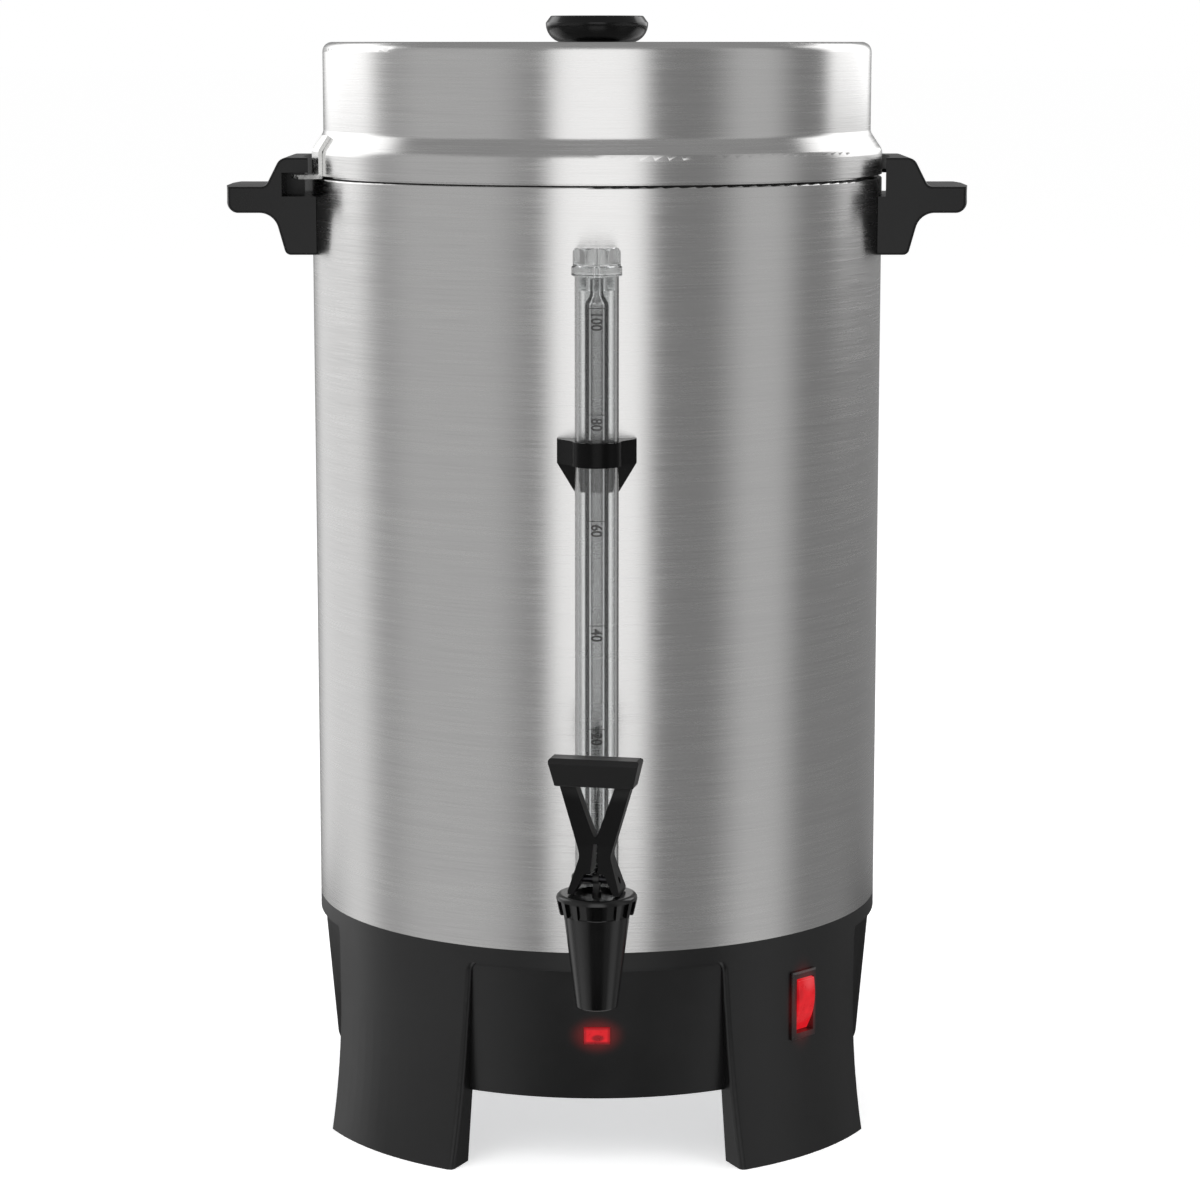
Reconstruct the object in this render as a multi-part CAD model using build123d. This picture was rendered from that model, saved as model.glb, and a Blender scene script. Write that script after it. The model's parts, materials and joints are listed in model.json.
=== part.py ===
from build123d import *
import os
from math import asin, cos, degrees, hypot, pi, radians, sin, tan

# Coffee urn with a percolator, a front tap and a sight gauge. Millimetres.
# The origin is the point on the floor under the urn's axis. +Z is up, the
# tap and the gauge face -Y, and the two handles lie along X.

# ---------------------------------------------------------------- fits
close_gap = 0.1          # still pieces pushed together around a curve
running_gap = 0.05       # pin or shaft turning or sliding in its hole
moving_gap = 0.3         # moving pieces that pass each other
sheet = 0.8              # pressed brackets, tabs, lugs and blades

# ---------------------------------------------------------------- tank
tank_radius = 134.0
tank_wall = 1.0
tank_height = 342.2      # from the base's rim to where the tank draws in under the cover
tank_floor_drop = 5.3    # underside of the tank's floor, below the base's rim
tank_corner = 5.0
neck_inset = 2.8         # the neck's outside, inside the tank's outside
rim_bead = 1.3           # section radius of the rolled rim
well_radius = 24.0       # well that the pump foot stands in
well_depth = 15.0

# ---------------------------------------------------------------- base
base_rim = 105.3         # top of the base, where the tank's step sits
base_wall = 3.0
band_height = 7.6        # plain band above the four recessed panels
panel_inset_top = 2.0    # panel face inside the band's face, at the band
panel_inset_bottom = 7.4
panel_bottom = 35.3
flare_start = 66.0       # legs are plumb above this and flare out below it
leg_flare = 5.5
leg_depth = 15.7         # radial depth of a leg's sole
front_window = (25.3, 28.3)   # half angles of the front and back recesses, top and floor
side_window = (24.2, 25.0)    # half angles of the left and right recesses
window_corner = 5.0
leg_edge = 2.4           # rounding of the legs' upright edges
flange_width = 30.0      # shelf inside the base that the tank is bolted to
flange_thickness = 3.7
flange_drop = 5.6        # top of the shelf below the rim
stud_inset = 16.0        # studs inside the tank's side
stud_radius = 2.0
stud_length = 11.5       # below the shelf
nut_height = 3.2
nut_radius = 4.0
cover_plate_rise = 0.7   # bottom cover above the panels' lower edge
cover_plate_thickness = 1.2
boss_inset = 24.0
boss_radius = 4.5
boss_azimuth = 20.0
screw_radius = 1.9
screw_length = 12.0
screw_head = 3.6
screw_head_height = 2.0
vent_count = 12
vent_circle = 62.0
vent_length = 24.0
vent_width = 5.0

# ---------------------------------------------------------------- heater and controls
heater_width = 9.7
heater_height = 12.0
clamp_depth = 5.0        # the clamp's dish below the heater
clamp_rim = 3.0
blade_width = 6.3
blade_drop = 10.0
blade_inset = 4.7        # blades outside the heater's bore
heater_azimuths = (-45.0, 135.0)
heater_stud_radius = 2.5
heater_stud_length = 9.0 # below the clamp
thermostat_circle = 62.0
thermostat_radius = 9.0
thermostat_height = 12.0
thermostat_azimuth = -45.0
terminal_pitch = 8.4
fuse_radius = 2.0
fuse_length = 14.0
fuse_azimuth = 135.0
lamp_width = 11.8
lamp_height = 7.9
lamp_centre = 65.6
lamp_proud = 0.8
lamp_lens_depth = 5.0
lamp_holder_depth = 9.0
lead_pitch = 3.0         # lamp leads to each side of the middle
switch_azimuth = -45.0
switch_centre = 71.0
bezel_width = 16.0
bezel_height = 32.0
bezel_proud = 1.6
switch_width = 13.4
switch_height = 28.0
switch_depth = 24.0
switch_wall = 1.0
rocker_reach = 12.6      # from the rocker's pivot to its ends
rocker_swing = 20.0      # from on to off
rocker_pivot_inset = 1.6 # pivot inside the skin
switch_tag_pitch = 9.0
switch_tag_length = 7.0
inlet_centre = 66.0
inlet_width = 30.0
inlet_height = 22.0
inlet_depth = 24.0
inlet_wall = 2.5
inlet_flange = 4.0
inlet_flange_thickness = 2.0
inlet_floor = 4.0
pin_pitch = 7.0
pin_width = 2.0
pin_height = 4.0
pin_rise = 4.0           # the earth pin above the other two
pin_tail = 9.0
pin_recess = 3.5         # pin ends behind the inlet's mouth
wire_radius = 1.3

# ---------------------------------------------------------------- handles
# Depths are from the tank's side outwards, drops and rises from the tank's shoulder.
handle_width = 65.0
handle_drop = 35.5       # lower end
root_depth = 10.4        # outside of the bracket at its lower end
waist_depth = 15.8       # where the bracket would meet the grip's underside
tip_depth = 39.8
handle_crown = 3.0       # bulge of the grip's outer edge
grip_drop = 16.1         # grip's underside
grip_thickness = 12.1
grip_corner = 4.5        # rounding of the grip's outer upper edge
handle_edge = 1.2        # rounding of the front and back faces' edges
step_depth = 16.6        # foot of the upper bracket
bracket_depth = 12.0     # upper bracket's top
handle_rise = 9.3        # top
slot_drop = 8.5
slot_height = 11.0
slot_depth = 12.0
handle_relief = 3.6      # the bracket's upper part stands back from the cover
handle_screw_azimuth = 9.0
handle_screw_rise = 9.0  # screws above the bracket's lower end
handle_screw_radius = 2.5
handle_screw_head = 4.5
handle_screw_head_height = 2.4
insert_wall = 1.5
insert_length = 8.0
insert_room = 1.0        # blind hole beyond the insert

# ---------------------------------------------------------------- cover
cover_gap = 1.4          # seam between the tank's shoulder and the skirt
skirt_height = 11.1      # from the seam up to the sloping ledge
ledge_run = 5.5          # the ledge's width between the skirt and the upright band
ledge_drop = 8.2
ledge_bulge = 5.0        # rounding between the skirt and the ledge
ledge_hollow = 3.5       # rounding between the ledge and the band
crown_rise = 41.5        # crown above the ledge
crown_corner = 4.5
dish_inset = 11.5        # dish inside the band
dish_depth = 11.0
tab_half_angle = 2.9
tab_sheet = 1.8
tab_end_gap = 0.5        # between a tab's end and the end of its slot
tab_clearance = 1.2      # between an unlocked tab and the handle beside it
tab_lock_turn = 12.0     # clockwise turn from unlocked to locked
knob_washer_radius = 12.0
knob_washer_height = 1.2
knob_neck = 11.0
knob_radius = 24.0
knob_rise = 12.2         # knob's top above the crown
knob_edge = 3.3          # knob's widest part below its top
knob_bowl = 9.0          # rounding of the knob's underside
knob_screw_radius = 2.5
knob_screw_length = 16.0
knob_screw_head = 5.0
steam_vent_radius = 1.5

# ---------------------------------------------------------------- sight gauge
gauge_stand = 12.7       # the gauge's axis outside the tank's side
shield_radius = 9.6
shield_wall = 1.4
shield_drop = 37.5       # top of the shield below the tank's shoulder
glass_radius = 5.1
glass_wall = 1.2
glass_shoulder_drop = 12.0    # glass's drawn-in shoulder below the top of the shield
glass_tip_radius = 2.8
glass_tip_drop = 1.0
glass_neck_height = 4.0
gauge_cap_lip = 1.4      # cap's collar outside the shield
gauge_cap_step = 0.6     # cap's hexagon inside its collar
gauge_cap_collar = 4.5
gauge_cap_height = 12.3
gauge_plug_depth = 6.0
clip_drop = 82.7         # underside of the clip below the top of the shield
clip_height = 10.8
clip_band = 1.1
clip_half_width = 17.5
clip_plate = 2.2         # the clip's back plate against the tank
clip_tail = 13.0         # back plate below the band
rivet_radius = 1.6
rivet_head = 3.2
rivet_head_height = 1.2

# ---------------------------------------------------------------- tap
tap_stand = 52.0         # the tap's axis outside the tank's side
shank_rise = 19.7        # above the base's rim
shank_radius = 9.0
shank_bore = 6.0
shank_inset = 14.0       # the shank's inner end inside the tank's side
shank_flange_radius = 14.5
shank_flange_thickness = 3.0
seal_thickness = 2.6
shank_nut_radius = 14.0
shank_nut_height = 6.0
socket_wall = 1.6
socket_rise = 20.0       # gauge socket's mouth above the shank's axis
socket_step_rise = 14.0  # the shield stands here
gauge_seal_rise = 6.5
gauge_duct = 3.5
tap_joint_stand = 26.0   # the tap's boss begins here, outside the tank's side
tap_boss_wall = 3.0
spout_drop = 29.6        # spout's tip below the shank's axis
spout_tip_radius = 9.15
spout_top_radius = 14.4
spout_bore = 5.5
valve_seat_drop = 10.0
cavity_radius = 9.0
collar_wall = 3.75       # collar outside the spout's top
collar_thread_inset = 0.4
collar_skirt = 5.0
collar_rise = 9.2        # collar's top above the spout's top
collar_roof = 4.2
collar_taper = 2.0
collar_well_radius = 10.6     # sunk face round the stem
collar_well_depth = 2.0
collar_notches = 16
collar_notch_width = 4.4
collar_notch_depth = 1.5
collar_notch_height = 6.8
stem_radius = 2.0
stem_tongue = 2.6
valve_cup_radius = 7.4
valve_cup_height = 6.0
valve_lip = 1.5
spring_radius = 6.2
spring_wire = 0.6
spring_turns = 6
pivot_rise = 6.0         # lever's pin above the collar
lever_turn = -12.0       # the lever stands turned this far about the stem
lever_pin_radius = 1.5
lever_foot_rise = 0.5    # foot above the collar at rest
lever_foot_width = 22.5
lever_foot_depth = 16.0
lever_waist = 13.4
lever_waist_rise = 10.8  # above the pin, as the heights below
lever_arch_width = 18.8
lever_arch_rise = 3.4
lever_arch_top_width = 8.4
lever_slit = 1.8         # slit between the arms at its top, and twice as wide at the arch
lever_slit_rise = 16.2
lever_arm_depth = 7.0
lever_arm_width = 6.2
paddle_rise = 41.5
paddle_height = 12.3
paddle_width_bottom = 34.4
paddle_width_top = 40.3
paddle_depth = 10.0
paddle_lean = 2.0        # the paddle's top stands this far in front of its foot
paddle_bevel = 1.2

# ---------------------------------------------------------------- percolator
pump_height = 19.0
pump_seat_drop = 11.0    # the tube's lower end below the top of the bell
pump_wall = 1.0
stem_tube_radius = 4.75
stem_tube_wall = 0.8
stem_tube_room = 14.7    # above the tube, to the underside of the cover's dish
valve_travel = 2.0
valve_radius = 8.0
basket_radius = 88.0
basket_height = 70.0
basket_sink = 49.5       # basket's floor below the tank's shoulder
basket_rim = 2.4
basket_sleeve_top = 20.0 # sleeve above the basket's rim
collar_ring_radius = 9.0
collar_ring_height = 6.0
spreader_drop = 5.0      # the spreader's floor inside the basket's mouth
hole_radius = 1.6
hole_circle = 22.0       # innermost ring of holes
hole_ring_step = 16.0
hole_ring_count = 4
hole_pitch = 12.8        # least distance between two holes of a ring


# ---------------------------------------------------------------- geometry helpers
def outline(points):
    """Closed face from (u, v) or (u, v, radius) corners, rounded where a radius is given."""
    corners = [(Vector(p[0], p[1]), p[2] if len(p) > 2 else 0.0) for p in points]
    stretches = []
    arcs = []
    for index, (corner, radius) in enumerate(corners):
        back = (corners[index - 1][0] - corner).normalized()
        ahead = (corners[(index + 1) % len(corners)][0] - corner).normalized()
        if radius == 0.0:
            stretches.append((corner, corner))
            continue
        half = radians(back.get_angle(ahead)) / 2
        run = radius / tan(half)
        middle = corner + (back + ahead).normalized() * (radius / sin(half) - radius)
        stretches.append((corner + back * run, corner + ahead * run))
        arcs.append(ThreePointArc(corner + back * run, middle, corner + ahead * run))
    lines = []
    for index, (start, _) in enumerate(stretches):
        before = stretches[index - 1][1]
        if (start - before).length > 1e-6:
            lines.append(Line(before, start))
    return make_face(Wire(lines + arcs))


def turned(points, start=0.0, sweep=360.0):
    """Solid of revolution about Z from (radius, height) corners."""
    face = Plane.XZ * outline(points)
    return Rot(0, 0, start) * revolve(face, Axis.Z, sweep)


def ring(inner, outer, low, high):
    """Plain ring about Z."""
    return turned([(inner, low), (outer, low), (outer, high), (inner, high)])


def block(low, high):
    """Box between two opposite corners."""
    size = [b - a for a, b in zip(low, high)]
    return Pos(*low) * Box(*size, align=(Align.MIN, Align.MIN, Align.MIN))


def rod(radius, start, end):
    """Round bar between two points."""
    axis = Vector(*end) - Vector(*start)
    foot = Plane(origin=start, z_dir=axis)
    return foot * Cylinder(radius, axis.length, align=(Align.CENTER, Align.CENTER, Align.MIN))


def on_side(azimuth, shape):
    """Turn a shape drawn on the +X side to the given azimuth about Z."""
    return Rot(0, 0, azimuth) * shape


def at_azimuths(azimuths, shape):
    """Copies of a shape drawn on the +X side."""
    return [on_side(azimuth, shape) for azimuth in azimuths]


def write(name, shape):
    """One file for one piece, or for one group of like pieces."""
    solids = shape if isinstance(shape, list) else [shape]
    bodies = [solid for item in solids for solid in item.solids()]
    export_step(bodies[0] if len(bodies) == 1 else Compound(children=bodies), f"parts/{name}.step")


# ---------------------------------------------------------------- places shared by several pieces
tank_bottom = base_rim - tank_floor_drop
shoulder_height = base_rim + tank_height
neck_radius = tank_radius - neck_inset
rim_radius = neck_radius - tank_wall / 2
well_bottom = tank_bottom - well_depth
well_floor = well_bottom + tank_wall
foot_radius = tank_radius - base_wall - 0.4

band_bottom = base_rim - band_height
flange_inner = tank_radius - flange_width
flange_top = base_rim - flange_drop
flange_bottom = flange_top - flange_thickness
stud_circle = tank_radius - stud_inset
boss_circle = tank_radius - boss_inset
cover_plate_bottom = panel_bottom + cover_plate_rise
cover_plate_top = cover_plate_bottom + cover_plate_thickness
leg_inner = tank_radius + leg_flare - leg_depth
quarter_turns = (0.0, 90.0, 180.0, 270.0)
boss_azimuths = [boss_azimuth + turn for turn in quarter_turns]

heater_inner = well_radius + moving_gap
heater_outer = heater_inner + heater_width
heater_bottom = tank_bottom - heater_height
clamp_bottom = heater_bottom - clamp_depth
blade_circle = heater_inner + blade_inset
lamp_face = tank_radius - panel_inset_top - (
    (panel_inset_bottom - panel_inset_top) * (band_bottom - lamp_centre) / (band_bottom - panel_bottom)
)
inlet_face = lamp_face + base_wall / 2

handle_bottom = shoulder_height - handle_drop
handle_top = shoulder_height + handle_rise
handle_root = tank_radius + root_depth
handle_waist = tank_radius + waist_depth
handle_tip = tank_radius + tip_depth
handle_step = tank_radius + step_depth
bracket_reach = tank_radius + bracket_depth
grip_bottom = shoulder_height - grip_drop
grip_top = grip_bottom + grip_thickness
slot_bottom = shoulder_height - slot_drop
slot_top = slot_bottom + slot_height
slot_reach = tank_radius + slot_depth
relief_radius = tank_radius + handle_relief
handle_screw_height = handle_bottom + handle_screw_rise

skirt_bottom = shoulder_height + cover_gap
ledge_height = skirt_bottom + skirt_height + ledge_drop
ledge_length = hypot(ledge_run, ledge_drop)
band_radius = tank_radius - ledge_run
crown_height = ledge_height + crown_rise
dish_radius = band_radius - dish_inset
dish_height = crown_height - dish_depth
washer_top = dish_height + knob_washer_height
knob_top = crown_height + knob_rise
knob_widest = knob_top - knob_edge
tab_bottom = shoulder_height + close_gap
tab_edge = degrees(asin((handle_width / 2 + tab_clearance) / relief_radius))
tab_azimuth = tab_edge + tab_half_angle

gauge_circle = tank_radius + gauge_stand
shield_top = shoulder_height - shield_drop
glass_shoulder = shield_top - glass_shoulder_drop
glass_tip_top = shield_top - glass_tip_drop
gauge_cap_radius = shield_radius + gauge_cap_lip
gauge_cap_hex = gauge_cap_radius - gauge_cap_step
gauge_cap_top = shield_top + gauge_cap_height
clip_bottom = shield_top - clip_drop

tap_circle = tank_radius + tap_stand
shank_height = base_rim + shank_rise
shank_tail = tank_radius - shank_inset
socket_back = tank_radius + seal_thickness
shank_face = socket_back + shank_flange_thickness
socket_radius = shield_radius + running_gap + socket_wall
socket_top = shank_height + socket_rise
socket_step = shank_height + socket_step_rise
gauge_seal_bottom = shank_height + gauge_seal_rise
tap_joint = tank_radius + tap_joint_stand
tap_boss_radius = shank_radius + tap_boss_wall
spout_tip = shank_height - spout_drop
spout_top = shank_height + tap_boss_radius
valve_seat = shank_height - valve_seat_drop
cup_bottom = valve_seat + close_gap
cup_top = cup_bottom + valve_cup_height
collar_radius = spout_top_radius + collar_wall
collar_thread = spout_top_radius - collar_thread_inset
collar_top = spout_top + collar_rise
spring_top = collar_top - collar_roof
lever_pivot = collar_top + pivot_rise
lever_waist_height = lever_pivot + lever_waist_rise
lever_arch_top = lever_pivot + lever_arch_rise
lever_slit_top = lever_pivot + lever_slit_rise
paddle_bottom = lever_pivot + paddle_rise
paddle_top = paddle_bottom + paddle_height

stem_tube_top = dish_height - stem_tube_room
basket_bottom = shoulder_height - basket_sink
basket_floor = basket_bottom + sheet
sleeve_radius = stem_tube_radius + moving_gap


def ledge_line(radius, offset):
    """Height at a radius of a line that lies this far outside the cover's ledge."""
    return ledge_height + (offset * ledge_length - (radius - band_radius) * ledge_drop) / ledge_run


rim_height = ledge_line(rim_radius, -sheet - rim_bead - moving_gap)


# ---------------------------------------------------------------- tank
def tank_outline(inset):
    """Half section of the tank's skin, drawn this far inside its outer face."""
    return [
        (0, well_bottom + inset),
        (well_radius - inset, well_bottom + inset, tank_corner - inset),
        (well_radius - inset, tank_bottom + inset, tank_corner / 2),
        (foot_radius - inset, tank_bottom + inset, tank_corner - inset),
        (foot_radius - inset, base_rim + inset),
        (tank_radius - inset, base_rim + inset),
        (tank_radius - inset, shoulder_height - inset, 0.9),
        (neck_radius - inset, shoulder_height - inset, 0.6),
        (neck_radius - inset, rim_height),
        (0, rim_height),
    ]


def make_vessel():
    skin = turned(tank_outline(0)) - turned(tank_outline(tank_wall))
    skin += Pos(0, 0, rim_height) * Torus(rim_radius, rim_bead)
    reach = tank_radius * 1.1
    inside = foot_radius * 0.9
    skin -= rod(shank_radius + close_gap, (0, -inside, shank_height), (0, -reach, shank_height))
    clip_middle = clip_bottom + clip_height / 2
    skin -= rod(rivet_radius + running_gap, (0, -inside, clip_middle), (0, -reach, clip_middle))
    hole = rod(
        handle_screw_radius + close_gap, (inside, 0, handle_screw_height), (reach, 0, handle_screw_height)
    )
    for bore in at_azimuths(handle_screw_azimuths(), hole):
        skin -= bore
    return skin


def handle_screw_azimuths():
    return [side + turn for side in (0, 180) for turn in (-handle_screw_azimuth, handle_screw_azimuth)]


def make_vessel_studs():
    stud = rod(stud_radius, (stud_circle, 0, flange_bottom - stud_length), (stud_circle, 0, tank_bottom))
    heater_stud = rod(heater_stud_radius, (0, 0, clamp_bottom - heater_stud_length), (0, 0, well_bottom))
    return at_azimuths(quarter_turns, stud) + [heater_stud]


def hex_nut(across_corners, height, bore):
    prism = extrude(RegularPolygon(across_corners, 6), height)
    return prism - Cylinder(bore, height * 3)


def make_vessel_nuts():
    low = flange_bottom - sheet - nut_height
    nut = Pos(stud_circle, 0, low) * hex_nut(nut_radius, nut_height, stud_radius + running_gap)
    heater_nut = hex_nut(nut_radius * 1.25, nut_height * 1.25, heater_stud_radius + running_gap)
    return at_azimuths(quarter_turns, nut) + [Pos(0, 0, clamp_bottom - nut_height * 1.25) * heater_nut]


def make_stud_washers():
    washer = Pos(stud_circle, 0, flange_bottom - sheet / 2) * (
        Cylinder(nut_radius + 1, sheet) - Cylinder(stud_radius + running_gap, sheet * 3)
    )
    return at_azimuths((0.0, 180.0, 270.0), washer)


def make_earth_lug():
    low = flange_bottom - sheet
    tongue = block((-3, stud_circle - 16, low), (3, stud_circle, flange_bottom))
    eye = Pos(0, stud_circle, low + sheet / 2) * Cylinder(nut_radius + 1, sheet)
    hole = Pos(0, stud_circle, low + sheet / 2) * Cylinder(stud_radius + running_gap, sheet * 3)
    return tongue + eye - hole


# ---------------------------------------------------------------- base
def leg_section(inset):
    """Half section of the legs' outer face, plumb above and flared below."""
    radius = tank_radius - inset
    middle = flare_start / 2
    top = (radius, band_bottom)
    start = (radius, flare_start)
    halfway = (radius + leg_flare / 4, middle)
    foot = (radius + leg_flare, 0)
    return top, start, halfway, foot


def leg_ring(inner, inset, low, high):
    """Full ring with the legs' outer face, before the recesses are cut."""
    top, start, halfway, foot = leg_section(inset)
    edges = [
        Line((inner, 0), foot),
        ThreePointArc(foot, halfway, start),
        Line(start, top),
        Line(top, (inner, band_bottom)),
        Line((inner, band_bottom), (inner, 0)),
    ]
    whole = revolve(Plane.XZ * make_face(Wire(edges)), Axis.Z)
    reach = tank_radius + leg_flare + 1
    return whole & ring(0.1, reach, low, high)


def window(half_angles, azimuth, grow=0.0):
    """Wedge over one recess. Its sides stand radial at the band and spread towards the floor."""
    reach = tank_radius + leg_flare
    wedge = block((leg_inner - 20, -reach, -1), (reach + 20, reach, band_bottom))
    upper, lower = (radians(angle) for angle in half_angles)
    for side in (-1, 1):
        along = Vector(cos(upper), side * sin(upper), 0)
        head = Vector(0, 0, band_bottom) + along * reach
        foot = Vector(reach * cos(lower), side * reach * sin(lower), 0)
        normal = along.cross(foot - head).normalized()
        if normal.Y * side < 0:
            normal = normal * -1
        beyond = Plane(origin=head + normal * grow, x_dir=along, z_dir=normal)
        wedge -= beyond * Box(4 * reach, 4 * reach, reach, align=(Align.CENTER, Align.CENTER, Align.MIN))
    corners = wedge.edges().group_by(Axis.Z)[-1].sort_by(Axis.X)[1:3]
    return on_side(azimuth, fillet(corners, window_corner))


def windows(grow=0.0):
    sides = [window(side_window, azimuth, grow) for azimuth in (0.0, 180.0)]
    ends = [window(front_window, azimuth, grow) for azimuth in (90.0, 270.0)]
    return sides + ends


def panel_ring():
    """Tapered skin of the recessed panels, all the way round."""
    top = tank_radius - panel_inset_top
    foot = tank_radius - panel_inset_bottom
    return turned([
        (foot - base_wall, panel_bottom),
        (foot, panel_bottom),
        (top, band_bottom),
        (top, flange_top),
        (top - base_wall, flange_top),
        (top - base_wall, band_bottom),
    ])


def cut_all(shape, cutters):
    for cutter in cutters:
        shape -= cutter
    return shape


def make_base_skirt():
    legs = cut_all(leg_ring(leg_inner, 0, 0, band_bottom), windows())
    upright = [
        edge for edge in legs.edges()
        if edge.length > flare_start and hypot(edge.center().X, edge.center().Y) > tank_radius - 1
        and edge.bounding_box().size.Z > flare_start
    ]
    legs = fillet(upright, leg_edge)
    hollow = leg_ring(leg_inner - 1, base_wall, base_wall, flange_bottom)
    legs -= cut_all(hollow, windows(base_wall))
    band = ring(tank_radius - base_wall, tank_radius, band_bottom, base_rim)
    shelf = ring(flange_inner, tank_radius - base_wall + 1, flange_bottom, flange_top)
    skirt = legs + band + shelf
    panels = panel_ring()
    for opening in windows(base_wall * 0.6):
        skirt += panels & opening
    boss = rod(boss_radius, (boss_circle, 0, cover_plate_top), (boss_circle, 0, flange_bottom + 1))
    for post in at_azimuths(boss_azimuths, boss):
        skirt += post
    half = (inlet_width / 2 + inlet_flange + 1, inlet_height / 2 + inlet_flange + 1)
    back = lamp_face - base_wall * 1.5
    skirt += block((-half[0], back, inlet_centre - half[1]), (half[0], inlet_face, inlet_centre + half[1]))
    return cut_all(skirt, base_holes())


def base_holes():
    reach = tank_radius + 10
    drill = rod(screw_radius - 0.1, (boss_circle, 0, 0), (boss_circle, 0, cover_plate_top + screw_length))
    holes = at_azimuths(boss_azimuths, drill)
    low = (stud_circle, 0, flange_bottom - 1)
    stud_hole = rod(stud_radius + moving_gap, low, (stud_circle, 0, base_rim))
    holes += at_azimuths(quarter_turns, stud_hole)
    half = (lamp_width / 2 + close_gap, lamp_height / 2 + close_gap)
    low = (-half[0], -reach, lamp_centre - half[1])
    holes.append(block(low, (half[0], -leg_inner, lamp_centre + half[1])))
    half = (switch_width / 2 + close_gap, switch_height / 2 + close_gap)
    low = (leg_inner - 1, -half[0], switch_centre - half[1])
    holes.append(on_side(switch_azimuth, block(low, (reach, half[0], switch_centre + half[1]))))
    half = (inlet_width / 2 + close_gap, inlet_height / 2 + close_gap)
    low = (-half[0], leg_inner - 5, inlet_centre - half[1])
    holes.append(block(low, (half[0], reach, inlet_centre + half[1])))
    return holes


def make_bottom_cover():
    plate_radius = tank_radius - panel_inset_bottom - base_wall - 1.3
    plate = ring(0, plate_radius, cover_plate_bottom, cover_plate_top)
    hole = rod(screw_radius + moving_gap, (boss_circle, 0, 0), (boss_circle, 0, base_rim))
    plate = cut_all(plate, at_azimuths(boss_azimuths, hole))
    vent_low = (vent_circle - vent_length / 2, -vent_width / 2, 0)
    vent = block(vent_low, (vent_circle + vent_length / 2, vent_width / 2, base_rim))
    azimuths = [index * 360 / vent_count for index in range(vent_count)]
    return cut_all(plate, at_azimuths(azimuths, vent))


def make_bottom_cover_screws():
    head_low = cover_plate_bottom - screw_head_height
    head = turned([
        (0, head_low),
        (screw_head, head_low, 0.9),
        (screw_head, cover_plate_bottom),
        (0, cover_plate_bottom),
    ])
    slot = block((-screw_head, -0.5, head_low - 1), (screw_head, 0.5, head_low + 0.9))
    tip = cover_plate_bottom + screw_length
    shaft = rod(screw_radius - 0.2, (0, 0, cover_plate_bottom - 1), (0, 0, tip))
    return at_azimuths(boss_azimuths, Pos(boss_circle, 0, 0) * (head + shaft - slot))


# ---------------------------------------------------------------- heater and controls
def make_heater_ring():
    top = tank_bottom - close_gap
    relief = tank_corner / 2 + moving_gap
    body = turned([
        (heater_inner, heater_bottom),
        (heater_outer, heater_bottom),
        (heater_outer, top),
        (heater_inner + relief, top),
        (heater_inner, top - relief),
    ])
    for azimuth in heater_azimuths:
        body -= on_side(azimuth, blade_shape(heater_bottom + 4, running_gap))
    return body


def blade_shape(top, grow=0.0):
    half_width = blade_width / 2 + grow
    half_sheet = sheet / 2 + grow
    low = (blade_circle - half_sheet, -half_width, heater_bottom - blade_drop)
    return block(low, (blade_circle + half_sheet, half_width, top))


def make_heater_terminals():
    return at_azimuths(heater_azimuths, blade_shape(heater_bottom + 4))


def make_heater_clamp():
    clamp = turned([
        (heater_stud_radius + close_gap, clamp_bottom),
        (heater_outer, clamp_bottom, 1.5),
        (heater_outer, heater_bottom),
        (heater_outer - clamp_rim, heater_bottom),
        (heater_outer - clamp_rim, clamp_bottom + 1.6),
        (heater_stud_radius + close_gap, clamp_bottom + 1.6),
    ])
    notch = block((blade_circle - 4, -blade_width, 0), (blade_circle + 4, blade_width, heater_bottom + 1))
    return cut_all(clamp, at_azimuths(heater_azimuths, notch))


def make_thermostat():
    top = tank_bottom - close_gap
    low = top - thermostat_height
    can = turned([
        (0, low),
        (thermostat_radius - 1.5, low, 0.8),
        (thermostat_radius - 1.5, low + 5),
        (thermostat_radius, low + 5),
        (thermostat_radius, top, 0.6),
        (0, top),
    ])
    tag = block((-0.4, -2.4, low - 5), (0.4, 2.4, low))
    body = can + Pos(terminal_pitch / 2, 0, 0) * tag + Pos(-terminal_pitch / 2, 0, 0) * tag
    return on_side(thermostat_azimuth, Pos(thermostat_circle, 0, 0) * body)


def fuse_height():
    return tank_bottom - close_gap - fuse_radius - sheet


def make_thermal_fuse():
    inner = thermostat_circle - fuse_length / 2
    body = rod(fuse_radius, (inner, 0, fuse_height()), (inner + fuse_length, 0, fuse_height()))
    strap = block(
        (thermostat_circle - 3, -5, fuse_height()), (thermostat_circle + 3, 5, tank_bottom - close_gap)
    )
    strap += rod(
        fuse_radius + sheet,
        (thermostat_circle - 3, 0, fuse_height()),
        (thermostat_circle + 3, 0, fuse_height()),
    )
    return on_side(fuse_azimuth, body + strap)


def make_lamp_lens():
    half = (lamp_width / 2, lamp_height / 2)
    front = lamp_face + lamp_proud
    lens = block(
        (-half[0], -front, lamp_centre - half[1]),
        (half[0], -front + lamp_lens_depth, lamp_centre + half[1]),
    )
    rim_edges = lens.faces().sort_by(Axis.Y)[0].edges()
    return fillet(rim_edges, 0.6)


def make_lamp_holder():
    front = lamp_face + lamp_proud - lamp_lens_depth
    half = (lamp_width / 2 + 1, lamp_height / 2 + 1)
    low = (-half[0], -front, lamp_centre - half[1])
    holder = block(low, (half[0], -front + lamp_holder_depth, lamp_centre + half[1]))
    return fillet(holder.edges().filter_by(Axis.Y), 0.8)


def skin_frame():
    """Back of the switch's bezel, just clear of the leg where it starts to flare."""
    return tank_radius + moving_gap


def rocker_pivot():
    return skin_frame() - rocker_pivot_inset


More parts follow.
